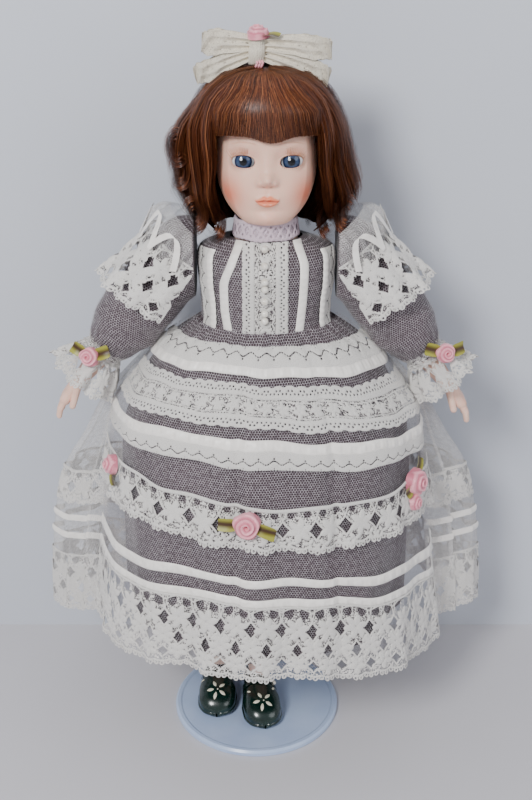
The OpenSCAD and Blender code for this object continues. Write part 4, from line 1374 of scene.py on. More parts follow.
def face_paint(p):
    """The painted bisque: blush, lips, brows, lash lines and lid shadow, and painted highlights on the lower
    lip.
    """
    x, y, z = p.T
    a = np.abs(x)
    front = np.clip(-y / 6 - 1.4, 0, 1)
    c = np.tile(linear(234, 190, 168), (len(p), 1))
    c = blend_paint(c, linear(232, 128, 98), 0.85 * bell(a, z, 20.0, 331.5, 7.0, 8.5) * front)
    c = blend_paint(c, linear(236, 170, 150), 0.3 * bell(x, z, 0, 319.5, 6, 4) * front)
    c = blend_paint(c, linear(230, 172, 152), 0.35 * bell(x, z, 0, 338, 4.5, 2.2) * front)
    c = blend_paint(c, linear(226, 160, 140), 0.4 * bell(a, z, EYE_X, EYE_Z + 4.6, 6.5, 1.6) * front)
    c = blend_paint(c, linear(150, 80, 62), 0.7 * bell(a, z, 1.9, 337.0, 0.8, 0.5) * front)
    in_lips = np.minimum(np.minimum(upper_lip(x) - z, z - lower_lip(x)), (6.25 - a) * 0.8)
    lips = np.clip(in_lips / 0.5 + 0.3, 0, 1) * front
    c = blend_paint(c, linear(236, 134, 96), 0.95 * lips)
    c = blend_paint(c, linear(170, 70, 52),
                    0.85 * lips * np.exp(-((z - MOUTH_Z + 0.012 * x * x) / 0.4) ** 2))
    # Painted highlight: two pale spots on the lower lip where its gloss would catch the light.
    c = blend_paint(c, linear(250, 205, 185),
                    0.55 * (bell(x, z, -1.5, 328.2, 0.7, 0.4) + bell(x, z, 1.6, 328.2, 0.7, 0.4)) * front)
    arch = 358.7 - 0.03 * (a - 11.0) ** 2
    hair = 0.8 + 0.2 * np.sin(a * 9 + z * 5)
    brow = np.exp(-((z - arch) / 0.42) ** 2) * np.clip((a - 4.4) / 2.0, 0, 1) * np.clip((19.6 - a) / 5, 0, 1)
    c = blend_paint(c, linear(172, 112, 84), 0.6 * brow * hair * front)
    opening = eye_opening(x, z)
    rim = np.exp(-(opening / 0.28) ** 2) * front * (a < 19)
    upper = np.clip((z - EYE_Z) / 1.2, 0, 1)
    c = blend_paint(c, linear(96, 52, 34), 0.85 * rim * upper)
    c = blend_paint(c, linear(196, 120, 100), 0.6 * rim * (1 - upper))
    dots = ((np.sin(a * 6.2) > 0.15) * np.exp(-((opening + 0.75) / 0.35) ** 2)
            * np.clip((EYE_Z - 1.2 - z) / 0.6, 0, 1))
    c = blend_paint(c, linear(120, 72, 50), 0.6 * dots * front * (a > 7))
    crease = np.exp(-((opening + 1.5) / 0.22) ** 2) * np.clip((z - EYE_Z - 1.5) / 1, 0, 1) * (a < 18)
    c = blend_paint(c, linear(186, 122, 100), 0.55 * crease * front)
    return c


BISQUE = make_painted("painted_bisque", Roughness=0.48, Specular_IOR_Level=0.35, Subsurface_Weight=0.12,
                      Subsurface_Scale=0.004, Coat_Weight=0.08, Coat_Roughness=0.35)


def cut_unequal(field, u0, u1, v0, v1, nu, nv):
    """cut() on a rectangle whose two sides are in different units."""
    scale = (v1 - v0) / (u1 - u0) * nu / nv
    points, triangles, values = cut(lambda u, v: field(u, v * scale), u0, u1, v0 / scale, v1 / scale,
                                    (u1 - u0) / nu)
    points[:, 1] *= scale
    return points, triangles, values


uv, faces, value = cut_unequal(head_field, -1.0, 1.0, 0.0, float(row_step[-1]), 300, 265)
skin = head_at(uv[:, 0], uv[:, 1])
paint = face_paint(skin)
skin[:, 0] += FACE_X * np.clip(-skin[:, 1] / 20, 0, 1)
mesh_piece("head_bisque", on_doll(skin), faces, "head", "bisque", BISQUE, uv=skin[:, [0, 2]], colour=paint,
                  stands_for=["head_shell"])

ears = Batch()
for side in (LEFT, RIGHT):
    points, ear_faces = ball((0, 0, 0), (2.0, 3.6, 5.2), 16, 20)
    points[:, 0] -= 0.9 * np.exp(-((points[:, 1] / 1.8) ** 2
                                   + (points[:, 2] / 3) ** 2)) * np.sign(points[:, 0]) * 0.8
    ears.add(on_doll(points + [side * 24.6, -1.5, 345]), ear_faces,
             colour=np.tile(linear(236, 192, 172), (len(points), 1)))
ears.piece("ears", "head", "bisque", BISQUE)


def make_eye_material():
    s = Shade("painted_glass_eye", Roughness=0.12, Coat_Weight=0.25, Coat_Roughness=0.03,
              Specular_IOR_Level=0.35)
    paint = s.node("Attribute", attribute_name="Paint")
    s.link(Base_Color=s.mix(s.math("MULTIPLY", s.noise(s.place(), 0.5, 2), 0.15), paint,
                            s.mix(0.5, paint, (0, 0, 0, 1))))
    return s.material


EYE_GLASS = make_eye_material()
for side in (LEFT, RIGHT):
    ring, around = 70, 120
    polar = np.linspace(0.0005, math.radians(80), ring)[:, None]
    turn = np.linspace(0, 2 * np.pi, around, endpoint=False)[None]
    r = EYE_RADIUS * np.sin(polar) * np.ones_like(turn)
    bulge = 0.35 * np.exp(-((r / 3.4) ** 4))
    ball_points = np.stack([r * np.cos(turn), -(EYE_RADIUS * np.cos(polar) + bulge), r * np.sin(turn)],
                           -1).reshape(-1, 3)
    r, turn_all = r.ravel(), (turn * np.ones_like(polar)).ravel()
    ray = 0.5 + 0.5 * np.sin(turn_all * 31 + 3 * np.sin(turn_all * 7)) * np.sin(turn_all * 13 + 1)
    c = np.tile(linear(226, 224, 226), (len(r), 1))
    c = blend_paint(c, linear(36, 50, 78), np.clip((4.3 - r) / 0.25, 0, 1))
    c = blend_paint(c, linear(72, 96, 128),
                    np.clip((4.2 - r) / 0.4, 0, 1) * ray * np.clip((r - 1.7) / 1.0, 0, 1) * 0.6)
    c = blend_paint(c, linear(14, 24, 58), np.exp(-((r - 4.0) / 0.5) ** 2))
    c = blend_paint(c, linear(5, 7, 14), np.clip((2.0 - r) / 0.3, 0, 1))
    # Painted highlight: a white catchlight dot on the glass.
    gleam = np.hypot(ball_points[:, 0] + 1.1, ball_points[:, 2] - 1.3)
    c = blend_paint(c, linear(250, 250, 252), np.clip((0.75 - gleam) / 0.3, 0, 1))
    # Painted shade: the top of the eye darkened as if under the upper lid.
    shade = np.clip((ball_points[:, 2] - 1.6) / 2.2, 0, 1) * 0.45
    c = blend_paint(c, linear(70, 50, 50), shade)
    mesh_piece(f"eye_glass_{SIDE_NAMES[side]}", on_doll(ball_points + [side * EYE_X + FACE_X, EYE_Y, EYE_Z]),
               grid_faces(ring, around, wrap=True), "head", "eye_glass", EYE_GLASS, colour=c,
               stands_for=[f"eye_{SIDE_NAMES[side]}"])


def make_lash():
    s = Shade("lash_fibre", Roughness=0.5)
    s.link(Base_Color=s.ramp(s.noise(s.place(), 1.0, 2), (0.3, srgb(150, 92, 58)),
                             (0.7, srgb(206, 146, 100))))
    return s.material


lashes = Batch()
for side in (LEFT, RIGHT):
    for k in range(19):
        a = -0.96 + 1.92 * k / 18
        x = side * EYE_X + a * EYE_WIDE
        z = EYE_Z + 0.25 * a * side + EYE_TALL * math.sqrt(max(0.0, 1 - abs(a) ** 2.3)) + 0.1
        y = EYE_Y - math.sqrt(max(1.0, LID_RADIUS**2 - (x - side * EYE_X) ** 2 - (z - EYE_Z) ** 2)) - 0.1
        reach = 3.6 + 0.8 * random.random()
        t = np.linspace(0, 1, 6)[:, None]
        lean = np.array([a * 2.6 + side * 0.3, -1.6, 0.0]) * t + np.array([0, 0, 1.0]) * (t**1.2) * reach
        points, lash_faces = tube(on_doll(np.array([x + FACE_X, y, z]) + lean), np.linspace(0.15, 0.06, 6),
                                  4, cap=False)
        lashes.add(points, lash_faces)
lashes.piece("lash_hairs", "head", "lash_fibre", make_lash(), stands_for=["eyelashes"])


# ---- Hair ----

def make_hair():
    s = Shade("auburn_hair", Roughness=0.46, Specular_IOR_Level=0.45)
    paint = s.node("Attribute", attribute_name="Paint")
    where = s.place()
    streak = s.noise(s.vector("MULTIPLY", where, (1, 1, 0.12)), 0.8, 3)
    s.link(Base_Color=s.mix(streak, s.mix(0.35, paint, (0.01, 0.003, 0.001, 1)), paint))
    s.bump(streak, 0.3, 0.2)
    return s.material


HAIR = make_hair()
HEAD_MIDDLE = np.array([0, 2.0, 350.0])
DARK_HAIR, MID_HAIR, LIGHT_HAIR = linear(46, 22, 12), linear(100, 50, 26), linear(168, 104, 62)


def strand_ribbons(batch, paths, width, tone):
    """Thin tapered ribbons along many paths (strands x points x 3), facing away from the head."""
    strands, steps, _ = paths.shape
    along = unit(np.gradient(paths, axis=1))
    away = unit(paths - HEAD_MIDDLE)
    side = unit(np.cross(along, away))
    taper = width * (1 - 0.55 * np.linspace(0, 1, steps) ** 3)[None, :, None]
    points = np.stack([paths - side * taper, paths + side * taper], axis=2)
    index = np.arange(strands * steps * 2).reshape(strands, steps, 2)
    quads = np.stack([index[:, :-1, 0], index[:, :-1, 1], index[:, 1:, 1], index[:, 1:, 0]],
                     -1).reshape(-1, 4)
    t = np.linspace(0, 1, steps)[None, :, None]
    colour = np.where(tone[:, None, None] < 0.5,
                      DARK_HAIR + (MID_HAIR - DARK_HAIR) * tone[:, None, None] * 2,
                      MID_HAIR + (LIGHT_HAIR - MID_HAIR) * (tone[:, None, None] * 2 - 1))
    # Painted shade and light: each strand darker toward its root and tip, lighter along its middle.
    colour = colour * (0.85 + 0.3 * np.sin(np.pi * t))
    batch.add(on_doll(points.reshape(-1, 3)), quads, colour=np.repeat(colour.reshape(-1, 3), 2, axis=0))


def along_guide(guide, t):
    """Smooth points on a guide given by a few points."""
    guide = np.asarray(guide, float)
    place = np.linspace(0, 1, len(guide))
    return np.stack([smooth_curve(list(zip(place, guide[:, k])))(t) for k in range(3)], -1)


def lock(batch, guide, spread, count, steps=16, curl=0.0, coils=1.5, phase=0.0, tone=0.5, width=0.2,
         flat=1.0, tips=0.1):
    """A lock of hair: strands round a guide, drawn together at the ends and coiled over its lower part."""
    t = np.linspace(0, 1, steps)
    line = along_guide(guide, t)
    along = unit(np.gradient(line, axis=0))
    away = unit(line - HEAD_MIDDLE)
    side = unit(np.cross(along, away))
    out = unit(np.cross(side, along))
    angle = random.uniform(0, 2 * np.pi, count)
    reach = np.sqrt(random.uniform(0, 1, count))
    shape = np.interp(t, [0, 0.15, 0.5, 0.85, 1], [0.5, 0.9, 1.0, 0.8, 0.35])
    twist = angle[:, None] + 1.4 * t[None]
    off_side = np.cos(twist) * reach[:, None] * shape * spread
    off_out = np.sin(twist) * reach[:, None] * shape * spread * 0.6 * flat
    coil = curl * np.clip((t - 0.45) / 0.4, 0, 1)
    wind = 2 * np.pi * coils * np.clip((t - 0.4) / 0.6, 0, 1) + phase
    ends = 1 - tips * random.random(count)[:, None, None]
    sideways = (off_side + coil * np.cos(wind))[..., None] * side[None]
    outward = (off_out + coil * np.sin(wind))[..., None] * out[None]
    path = line[None] + sideways + outward
    start = path[:, :1]
    path = start + (path - start) * ends
    stray = random.normal(0, 0.12, (count, 1, 3))
    kink = 0.25 * np.sin(t * 9 + random.uniform(0, 6, (count, 1)))
    path += stray + kink[..., None] * side[None]
    tones = np.clip(tone + random.normal(0, 0.24, count), 0, 1)
    strand_ribbons(batch, path, width, tones)


def fall(azimuth, bottom, bulge=1.0, inset=0.0):
    """A guide from the crown over the head and down to shoulder length, at an angle from the face."""
    a = math.radians(azimuth)
    x, y = math.sin(a), -math.cos(a)
    rows = [(3, 390.5), (17, 388.5), (30, 379), (38, 363), (42, 347), (43, 331), (37, bottom)]
    return [np.array([x * r * bulge * 1.02, y * r * bulge * 0.9 + 3 * min(1, r / 20), z])
            - np.array([x, y, 0]) * inset for r, z in rows]


back_hair, fringe_hair = Batch(), Batch()
side_hair = {LEFT: Batch(), RIGHT: Batch()}
for k in range(34):
    azimuth = 72 + 216 * k / 33
    lock(back_hair, fall(azimuth, 309 + 4 * math.sin(k * 2.3), 0.98 + 0.05 * math.sin(k * 1.7)), 7.5, 130,
         steps=15, curl=3.4, coils=1.6, phase=k * 1.9, tone=0.42 + 0.12 * math.sin(k * 2.9), width=0.2)
# The inner layer under the outer locks gets a dark tone as painted shade.
for k in range(20):
    azimuth = 80 + 200 * k / 19
    lock(back_hair, fall(azimuth, 322, 0.9, 2.5), 8.5, 70, steps=12, curl=2.0, tone=0.2, width=0.34)

# Side locks: half width, depth and height down each lock, for the -X side and the +X side
side_locks = {
    LEFT: [
        ([(2, -10, 390), (17, -17, 385.5), (28, -20, 374), (30.5, -21, 360), (29.5, -18.5, 346),
          (31, -15, 330), (28, -9, 314)], 5.5),
        ([(2, -6, 391), (20, -12, 386), (32, -15, 374), (37, -16, 361), (37, -16, 346), (37, -14, 329),
          (32, -9, 313)], 6.5),
        ([(2, -4, 391), (20, -8, 386.5), (33, -10, 374), (43, -12, 362), (46, -13, 349), (44, -11, 334),
          (38, -8, 318)], 6.0),
        ([(2, -2, 391), (20, -3, 387), (34, -4, 374), (45, -6, 360), (48, -7, 347), (46, -5, 334),
          (38, -3, 318)], 6.0),
        ([(2, 0, 391), (20, 3, 387), (35, 4, 372), (43, 4, 356), (45, 4, 342), (42, 5, 326), (32, 6, 311)],
         7.0),
        ([(2, -9, 390), (17, -12, 385), (27, -12, 373), (32, -10, 358), (33, -8, 343), (30, -5, 327),
          (21, -2, 310)], 6.0),
    ],
    RIGHT: [
        ([(2, -10, 390), (18, -17, 385.5), (28, -19, 374), (31, -20, 360), (31, -17, 346), (34, -13, 331),
          (35, -8, 315)], 5.5),
        ([(2, -6, 391), (20, -12, 386), (32, -14, 374), (37, -15, 360), (39, -14, 345), (42, -11, 330),
          (40, -7, 315)], 6.0),
        ([(2, -3, 391), (20, -7, 386.5), (33, -9, 373), (40, -10, 358), (43, -10, 343), (46, -8, 330),
          (44, -5, 318)], 6.0),
        ([(2, 0, 391), (20, 2, 387), (34, 3, 373), (41, 3, 357), (43, 3, 342), (45, 4, 328), (40, 5, 315)],
         7.0),
        ([(2, -9, 390), (17, -12, 385), (27, -12, 373), (31, -10, 358), (32, -6, 343), (30, -2, 327),
          (21, 2, 310)], 6.0),
    ],
}
for side, locks in side_locks.items():
    for k, (guide, spread) in enumerate(locks):
        guide = [(side * x, y, z) for x, y, z in guide]
        # The third set of strands is dark and kept nearer each lock's middle, as painted shade inside the
        # lock.
        for count, tone, width, share in ((300, 0.42, 0.16, 1.0), (90, 0.72, 0.13, 1.0),
                                          (70, 0.15, 0.18, 0.8)):
            lock(side_hair[side], guide, spread * share, count, steps=18, curl=1.2, coils=0.7,
                 phase=k * 2.1 + side, tone=tone, width=width)

# Brushed-out curls rolled under at the ends
curls = [(-44, -11, 355, 7.5, -1), (-43, -12, 343, 7.5, 1), (-36, -12, 321, 8.0, 1), (-27, -8, 315, 7.5, 1),
         (41, -10, 321, 8.0, -1), (33, -7, 316, 7.5, -1)]
for x, y, z, r, hand in curls:
    t = np.linspace(0, 1, 18)
    count = 190
    begin = random.uniform(-1.5, 1.2, count)[:, None]
    wind = begin + 3.4 * t[None]
    inner = random.uniform(0.25, 1.0, count)[:, None]
    depth = random.uniform(-1, 1, count)[:, None] * r * 0.8
    px = x + hand * r * inner * np.sin(wind) * 0.85 + random.normal(0, 0.5, (count, 1))
    py = y + depth + r * inner * np.cos(wind) * 0.3
    pz = z + r * inner * np.cos(wind) * 1.25 - 1.5 * t
    strand_ribbons(side_hair[LEFT if x < 0 else RIGHT], np.stack([px, py, pz], -1), 0.17,
                   np.clip(0.42 + random.normal(0, 0.22, count), 0, 1))

# The fringe: strands fan forward from the parting and end on one cut line
for k in range(54):
    across = -1 + 2 * k / 53
    hem = 362.2 - 3.2 * math.exp(-((across - 0.12) / 0.3) ** 2) - 0.5 * abs(across) ** 3
    x0, x1, x2 = 5.0 * across, 18.5 * across, 26.0 * across
    cheek = 1 - across * across
    guide = [(x0, -5.0, 390.8), (x1 * 0.7, -14.5, 389.2), (x1, -24.2 - 2.2 * cheek, 382.5),
             (x2 * 0.97, -25.5 - 6.0 * cheek, 373), (x2, -22.8 - 6.8 * cheek, hem)]
    for count, tone, width in ((80, 0.42, 0.13), (30, 0.62, 0.11), (20, 0.2, 0.13)):
        lock(fringe_hair, guide, 4.6, count, steps=12, tone=tone, width=width, flat=0.35, tips=0.03)

back_hair.piece("wig_back", "head", "hair_auburn", HAIR, stands_for=["wig_hair"])
for side, strands in side_hair.items():
    strands.piece(f"wig_side_{SIDE_NAMES[side]}", "head", "hair_auburn", HAIR)
fringe_hair.piece("wig_fringe", "head", "hair_auburn", HAIR)

# The rooted mass under the loose strands, painted dark as the shade inside the hair
mass_rows = np.array([(391.2, 2), (389.5, 13), (385, 23.5), (378, 30), (368, 35), (354, 38), (340, 40),
                      (328, 39), (316, 35), (309, 28)])
t = np.linspace(0, 1, 46)
mass_z, mass_r = (np.interp(t, np.linspace(0, 1, len(mass_rows)), mass_rows[:, k]) for k in range(2))
turn = np.linspace(math.radians(68), math.radians(292), 150)
turn, rows = np.meshgrid(turn, np.arange(len(t)))
strand = (0.7 * np.sin(turn * 61) + 0.5 * np.sin(turn * 97 + rows * 0.12)
          + 0.8 * np.sin(turn * 17 + rows * 0.05))
radius = mass_r[rows] * 0.97 + strand * 0.6
points = np.stack([radius * np.sin(turn), -radius * 0.9 * np.cos(turn) + 3, mass_z[rows]], -1)
# Painted shade: the mass is darker in the grooves between its ridges.
shade = np.clip(0.35 + 0.25 * strand, 0, 1)[..., None]
mesh_piece("wig_mass", on_doll(points.reshape(-1, 3)), grid_faces(*turn.shape), "head", "hair_auburn", HAIR,
           colour=(DARK_HAIR * (1 - shade) + MID_HAIR * shade).reshape(-1, 3))
turn = np.linspace(-math.radians(70), math.radians(70), 90)
front_rows = np.array([(391.0, 1.5), (390, 10), (387.5, 17), (382.5, 22.5), (376, 25.4), (370, 26.6),
                       (366, 27)])
front_z, front_r = (np.interp(np.linspace(0, 1, 24), np.linspace(0, 1, len(front_rows)),
                              front_rows[:, k]) for k in range(2))
turn, rows = np.meshgrid(turn, np.arange(24))
strand = 0.3 * np.sin(turn * 71) + 0.3 * np.sin(turn * 43)
radius = front_r[rows] + strand * 0.5
points = np.stack([radius * np.sin(turn) * 1.02, -radius * np.cos(turn) * 1.03 - 0.6, front_z[rows]], -1)
# The mass under the fringe is painted dark as the shade beneath it.
mesh_piece("wig_fringe_mass", on_doll(points.reshape(-1, 3)), grid_faces(*turn.shape), "head",
           "hair_auburn", HAIR, colour=np.tile(DARK_HAIR * 0.6 + MID_HAIR * 0.4, (turn.size, 1)))


# ---- Bow ----

def bow_motif(u, v, height):
    """Small flowers and sprays scattered on net, between two fine scalloped edges."""
    pitch = 7.4
    x, y = repeat(u, pitch), repeat(u, pitch, pitch / 2)
    down = np.minimum(v, height - v)
    edge = np.minimum(down + 0.2, 1.9 + 0.5 * np.abs(np.cos(math.pi * u / 2.6)) - down)
    holes = dot(repeat(u, 2.6), down, 0, 1.2, 0.4)
    return union(without(edge, holes), petals(x, v, 0, height * 0.36, 5, 3.2, 2.0, 0.3),
                 petals(y, v, 0, height * 0.66, 5, 3.2, 2.0, 0.9),
                 petals(x, v, 0, height * 0.72, 3, 2.2, 1.3, 0.5),
                 petals(y, v, 0, height * 0.3, 3, 2.2, 1.3, 1.4))


BOW_X, BOW_Y, BOW_Z = -4.5, -3.0, 400.0
bow_loops = [
    # direction in degrees from +X, length, ribbon width, how deep the loop is, height of its root
    ("left", 176, 27, 13.5, 4.5, 2.6), ("right", -1, 37, 12.5, 4.5, 2.8),
    ("right_low", -15, 38, 12.5, 4, -1.4), ("left_low", 198, 33, 11.5, 4.5, -1.0),
]


def bow_at(direction, length, width, depth, root):
    """A loop of gathered ribbon: out along the front, round its end and back behind; u along it, v across."""
    a = math.radians(direction)
    along, up = np.array([math.cos(a), 0, math.sin(a)]), np.array([-math.sin(a), 0, math.cos(a)])
    if up[2] < 0:
        up = -up

    def at(u, v, lift):
        t = np.clip(u / (2.6 * length), 0, 1)
        out = np.sin(np.pi * t)
        reach = length * out ** 0.62
        gathered = 0.45 + 0.55 * np.sqrt(np.clip(out, 0, 1))
        pinch = gathered * np.sqrt(np.clip(1.12 - (reach / (1.06 * length)) ** 6, 0.1, 1))
        across = (v / width - 0.5) * width * pinch
        pleat = (1.1 * np.cos(5.2 * v / width * np.pi) * (1 - out) + 0.9 * np.sin(u * 0.42 + v * 0.5) * out)
        y = BOW_Y - depth * np.cos(np.pi * t) * (0.3 + 0.7 * out) - pleat
        droop = -0.02 * reach**2 / 10 + 0.5 * np.sin(u * 0.25) * out
        flutter = 0.35 * np.sin(u * 0.8) * np.abs(v / width - 0.5) * 2 * out
        centre = np.array([BOW_X, 0, BOW_Z + root])
        p = centre + reach[..., None] * along + (across + droop + flutter)[..., None] * up
        p[..., 1] += y - lift * np.sign(np.cos(np.pi * t))
        return p

    return at


for tag, direction, length, width, depth, root in bow_loops:
    at = bow_at(direction, length, width, depth, root)
    lace_piece(f"bow_lace_{tag}", bow_motif, 2.6 * length, width, at, "head", CREAM_LACE, 0.3, 0.42,
               slot="bow_cream", u_from=0.0, stands_for=["hair_bow"] if tag == "left" else ())
    lace_piece(f"bow_net_{tag}", lambda u, v, h: np.minimum(v, h - v), 2.6 * length, width, at, "head",
               CREAM_TULLE, 0.0, 0.8, slot="bow_cream", u_from=0.0)

knot = Batch()
for k in range(9):
    a = -1.2 + 2.4 * k / 8
    t = np.linspace(-1, 1, 12)
    path = np.stack([BOW_X + 3.2 * np.sin(a) + 0.6 * t,
                     BOW_Y - 6.5 * np.cos(a * 0.8) * (1 - 0.35 * t**2) + 1.0,
                     BOW_Z + 6.2 * t - 1], -1)
    points, knot_faces = tube(on_doll(path), 1.15 * (1 - 0.45 * np.abs(t)), 8)
    knot.add(points, knot_faces, uv=points[:, [0, 2]])
knot.piece("bow_knot", "head", "bow_cream", CREAM_LACE)
tie = Batch()
t = np.linspace(0, 1, 12)
for x in (-1.2, 0.2, 1.5):
    points, tie_faces = tube(on_doll(np.stack([BOW_X + 1 + x + 0.4 * np.sin(5 * t),
                                               BOW_Y - 4.5 - 1.2 * np.sin(3 * t),
                                               395 - 3.4 * t], -1)),
                             0.6, 6)
    tie.add(points, tie_faces, colour=np.full((len(points), 3), 0.95))
tie.piece("bow_tie", "head", "ribbon_pink", ROSE)
rose_set([(on_doll([BOW_X + 0.6, BOW_Y - 0.5, 405.2]), (-0.1, -0.12, 0.98), 5.6, 40,
           [(8, 8, 0.06), (188, 4, 0.0)])],
         "bow_rose_satin", "bow_leaves_satin", "head", ["bow_rose"], ["bow_leaves"])


# ---- Legs, shoes and hands ----

def cad_material(node, material):
    """Gives a carried-over CAD node a better finish."""
    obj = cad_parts[node]
    for k in range(max(1, len(obj.data.materials))):
        if k < len(obj.data.materials):
            obj.data.materials[k] = material
        else:
            obj.data.materials.append(material)


PLAIN_BISQUE = make_mottled("plain_bisque", srgb(226, 182, 162), srgb(240, 204, 186), (9, 4), 0.15, 0.05,
                            (0.35, 3), Roughness=0.5, Specular_IOR_Level=0.35, Subsurface_Weight=0.1,
                            Subsurface_Scale=0.004)
for node in ("lower_leg_left", "lower_leg_right", "forearm_left", "forearm_right", "shoulder_plate"):
    cad_material(node, PLAIN_BISQUE)


def make_calico():
    """Plain-woven cotton of the stuffed body."""
    s = Shade("body_calico", Roughness=0.85, Sheen_Weight=0.2, Specular_IOR_Level=0.15)
    where = s.place()
    warp = s.node("TexWave", {"Vector": where, "Scale": 0.5, "Distortion": 0.8}, out=1, wave_type="BANDS",
                  bands_direction="X")
    weft = s.node("TexWave", {"Vector": where, "Scale": 0.5, "Distortion": 0.8}, out=1, wave_type="BANDS",
                  bands_direction="Z")
    cloth = s.math("MAXIMUM", warp, weft)
    s.link(Base_Color=s.mix(s.noise(where, 12, 3),
                            s.ramp(cloth, (0.2, srgb(196, 178, 150)), (0.8, srgb(232, 218, 194))),
                            srgb(222, 206, 180)))
    s.bump(cloth, 0.5, 0.15)
    return s.material


CALICO = make_calico()


def stuffed_limb(name, start, end, r_start, r_end, body, node, round_start=True):
    """A stuffed cloth limb: creased where it is stitched, with a seam down its back."""
    start, end = np.array(start, float), np.array(end, float)
    axis = unit(end - start)
    side = unit(np.cross(axis, [0, 1, 0]))
    back = np.cross(side, axis)
    rows, around = 48, 40
    t = np.linspace(-0.1 if round_start else 0.0, 1.0, rows)
    length = np.linalg.norm(end - start)
    turn = np.linspace(0, 2 * np.pi, around, endpoint=False)
    tt, aa = np.meshgrid(t, turn, indexing="ij")
    r = r_start + (r_end - r_start) * tt
    closed = np.sqrt(np.clip((tt - t[0]) / 0.12, 0, 1)) if round_start else 1.0
    pucker = (1 - 0.05 * np.cos(aa * 9 + 2 * tt) * np.exp(-((tt - 1) / 0.12) ** 2)
              - 0.06 * np.exp(-((tt - 1) / 0.05) ** 2))
    seam = 1 - 0.05 * np.exp(-((np.abs(aa - np.pi / 2)) / 0.09) ** 2)
    r = r * closed * pucker * seam * 0.97
    p = start + (tt * length)[..., None] * axis
    p = p + (r * np.cos(aa))[..., None] * side + (r * np.sin(aa))[..., None] * back
    uv = np.stack([aa * r_start, tt * length], -1).reshape(-1, 2)
    obj = mesh_piece(name, p.reshape(-1, 3), grid_faces(rows, around, wrap=True), body, "body_cloth",
                     CALICO, uv=uv, stands_for=[node])
    return obj


HIP_X, HIP_Y, HIP_Z, ANKLE_Z, KNEE_Z = 14.0, 8.0, 190.0, 26.0, 104.0
FOOT = {LEFT: np.array([-24.4, 2.0, 4.9]), RIGHT: np.array([2.4, -9.0, 4.9])}
FOOT_TURN = {LEFT: 0.0, RIGHT: math.radians(8)}
for side in (LEFT, RIGHT):
    tag = SIDE_NAMES[side]
    hip = np.array([DOLL_X + side * HIP_X, HIP_Y, HIP_Z])
    ankle = np.array([FOOT[side][0], FOOT[side][1] + 10, ANKLE_Z])
    knee = hip + (ankle - hip) * (KNEE_Z - HIP_Z) / (ANKLE_Z - HIP_Z)
    stuffed_limb(f"thigh_cloth_{tag}", hip, knee, 11.9, 10.0, f"leg_{tag}", f"thigh_{tag}")
    origin, down, outward, back = arm_axes(side)
    shoulder = on_doll(origin + down * 2)
    stuffed_limb(f"upper_arm_cloth_{tag}", shoulder, on_doll(origin + down * 63), 7.4, 7.6, f"arm_{tag}",
                 f"arm_cloth_{tag}", round_start=False)

rows, around = 60, 72
body_rows = [(203, 9), (204, 14), (207, 17), (212, 18), (238, 17.6), (262, 18), (268, 20), (284, 20),
             (289.5, 15), (290, 10)]
body_z = smooth_curve(list(enumerate([row[0] for row in body_rows])))
body_r = smooth_curve(list(enumerate([row[1] for row in body_rows])))
k, turn = np.meshgrid(np.linspace(0, len(body_rows) - 1, rows),
                      np.linspace(0, 2 * np.pi, around, endpoint=False), indexing="ij")
seams = 1 - 0.03 * np.exp(-((np.abs(np.sin(turn))) / 0.06) ** 2)
radius = body_r(k) * seams * 0.985
torso = np.stack([BODICE_ASPECT * radius * np.cos(turn), radius * np.sin(turn), body_z(k)], -1)
torso_piece = mesh_piece("body_stuffed", on_doll(torso.reshape(-1, 3)), grid_faces(rows, around, wrap=True),
                         "doll", "body_cloth", CALICO,
                         uv=np.stack([turn * 18, body_z(k)], -1).reshape(-1, 2), stands_for=["cloth_body"])


SHOE = make_mottled("shoe_vinyl", srgb(3, 24, 20), srgb(8, 40, 33), (6, 4), 0.12, 0.1, (0.6, 3),
                    (2, 4, 0.14, 0.34),
                    Roughness=0.2, Coat_Weight=0.4, Coat_Roughness=0.1, Specular_IOR_Level=0.55)
PETAL = make_mottled("petal_paint", srgb(214, 208, 184), srgb(236, 232, 212), (1.2, 3), 0.3, 0.1,
                     Roughness=0.4, Specular_IOR_Level=0.4)
# The strap's place along the shoe and half its width, and the pearl button on its end
STRAP_Y, STRAP_HALF, BUTTON_RADIUS = 3.5, 2.2, 1.5
shoe_half = smooth_curve([(-23, 0.5), (-22, 4.8), (-19, 8.8), (-13, 11.3), (-6, 11.6), (2, 10.2), (10, 8.9),
                          (17, 8.2), (21, 6.2), (22.6, 3.0), (23, 0.5)])
shoe_top = smooth_curve([(-23, 3.2), (-21, 7.6), (-16, 11.8), (-9, 14.6), (-3, 15.4), (4, 16.8), (12, 19.4),
                         (19, 19.8), (23, 17)])


def shoe_at(y, turn):
    """A point of the shoe's upper: turn 0 is at the top, half a turn at the sole."""
    half, top = shoe_half(y), shoe_top(y)
    s, c = np.sin(turn), np.cos(turn)
    x = half * np.sign(s) * np.abs(s) ** 0.8
    z = np.where(c > 0, top * (0.34 + 0.66 * np.abs(c) ** 0.75), 0.34 * top * (1 - np.abs(c) ** 0.5) + 0.4)
    return np.stack([x, y + 0 * z, z], -1)


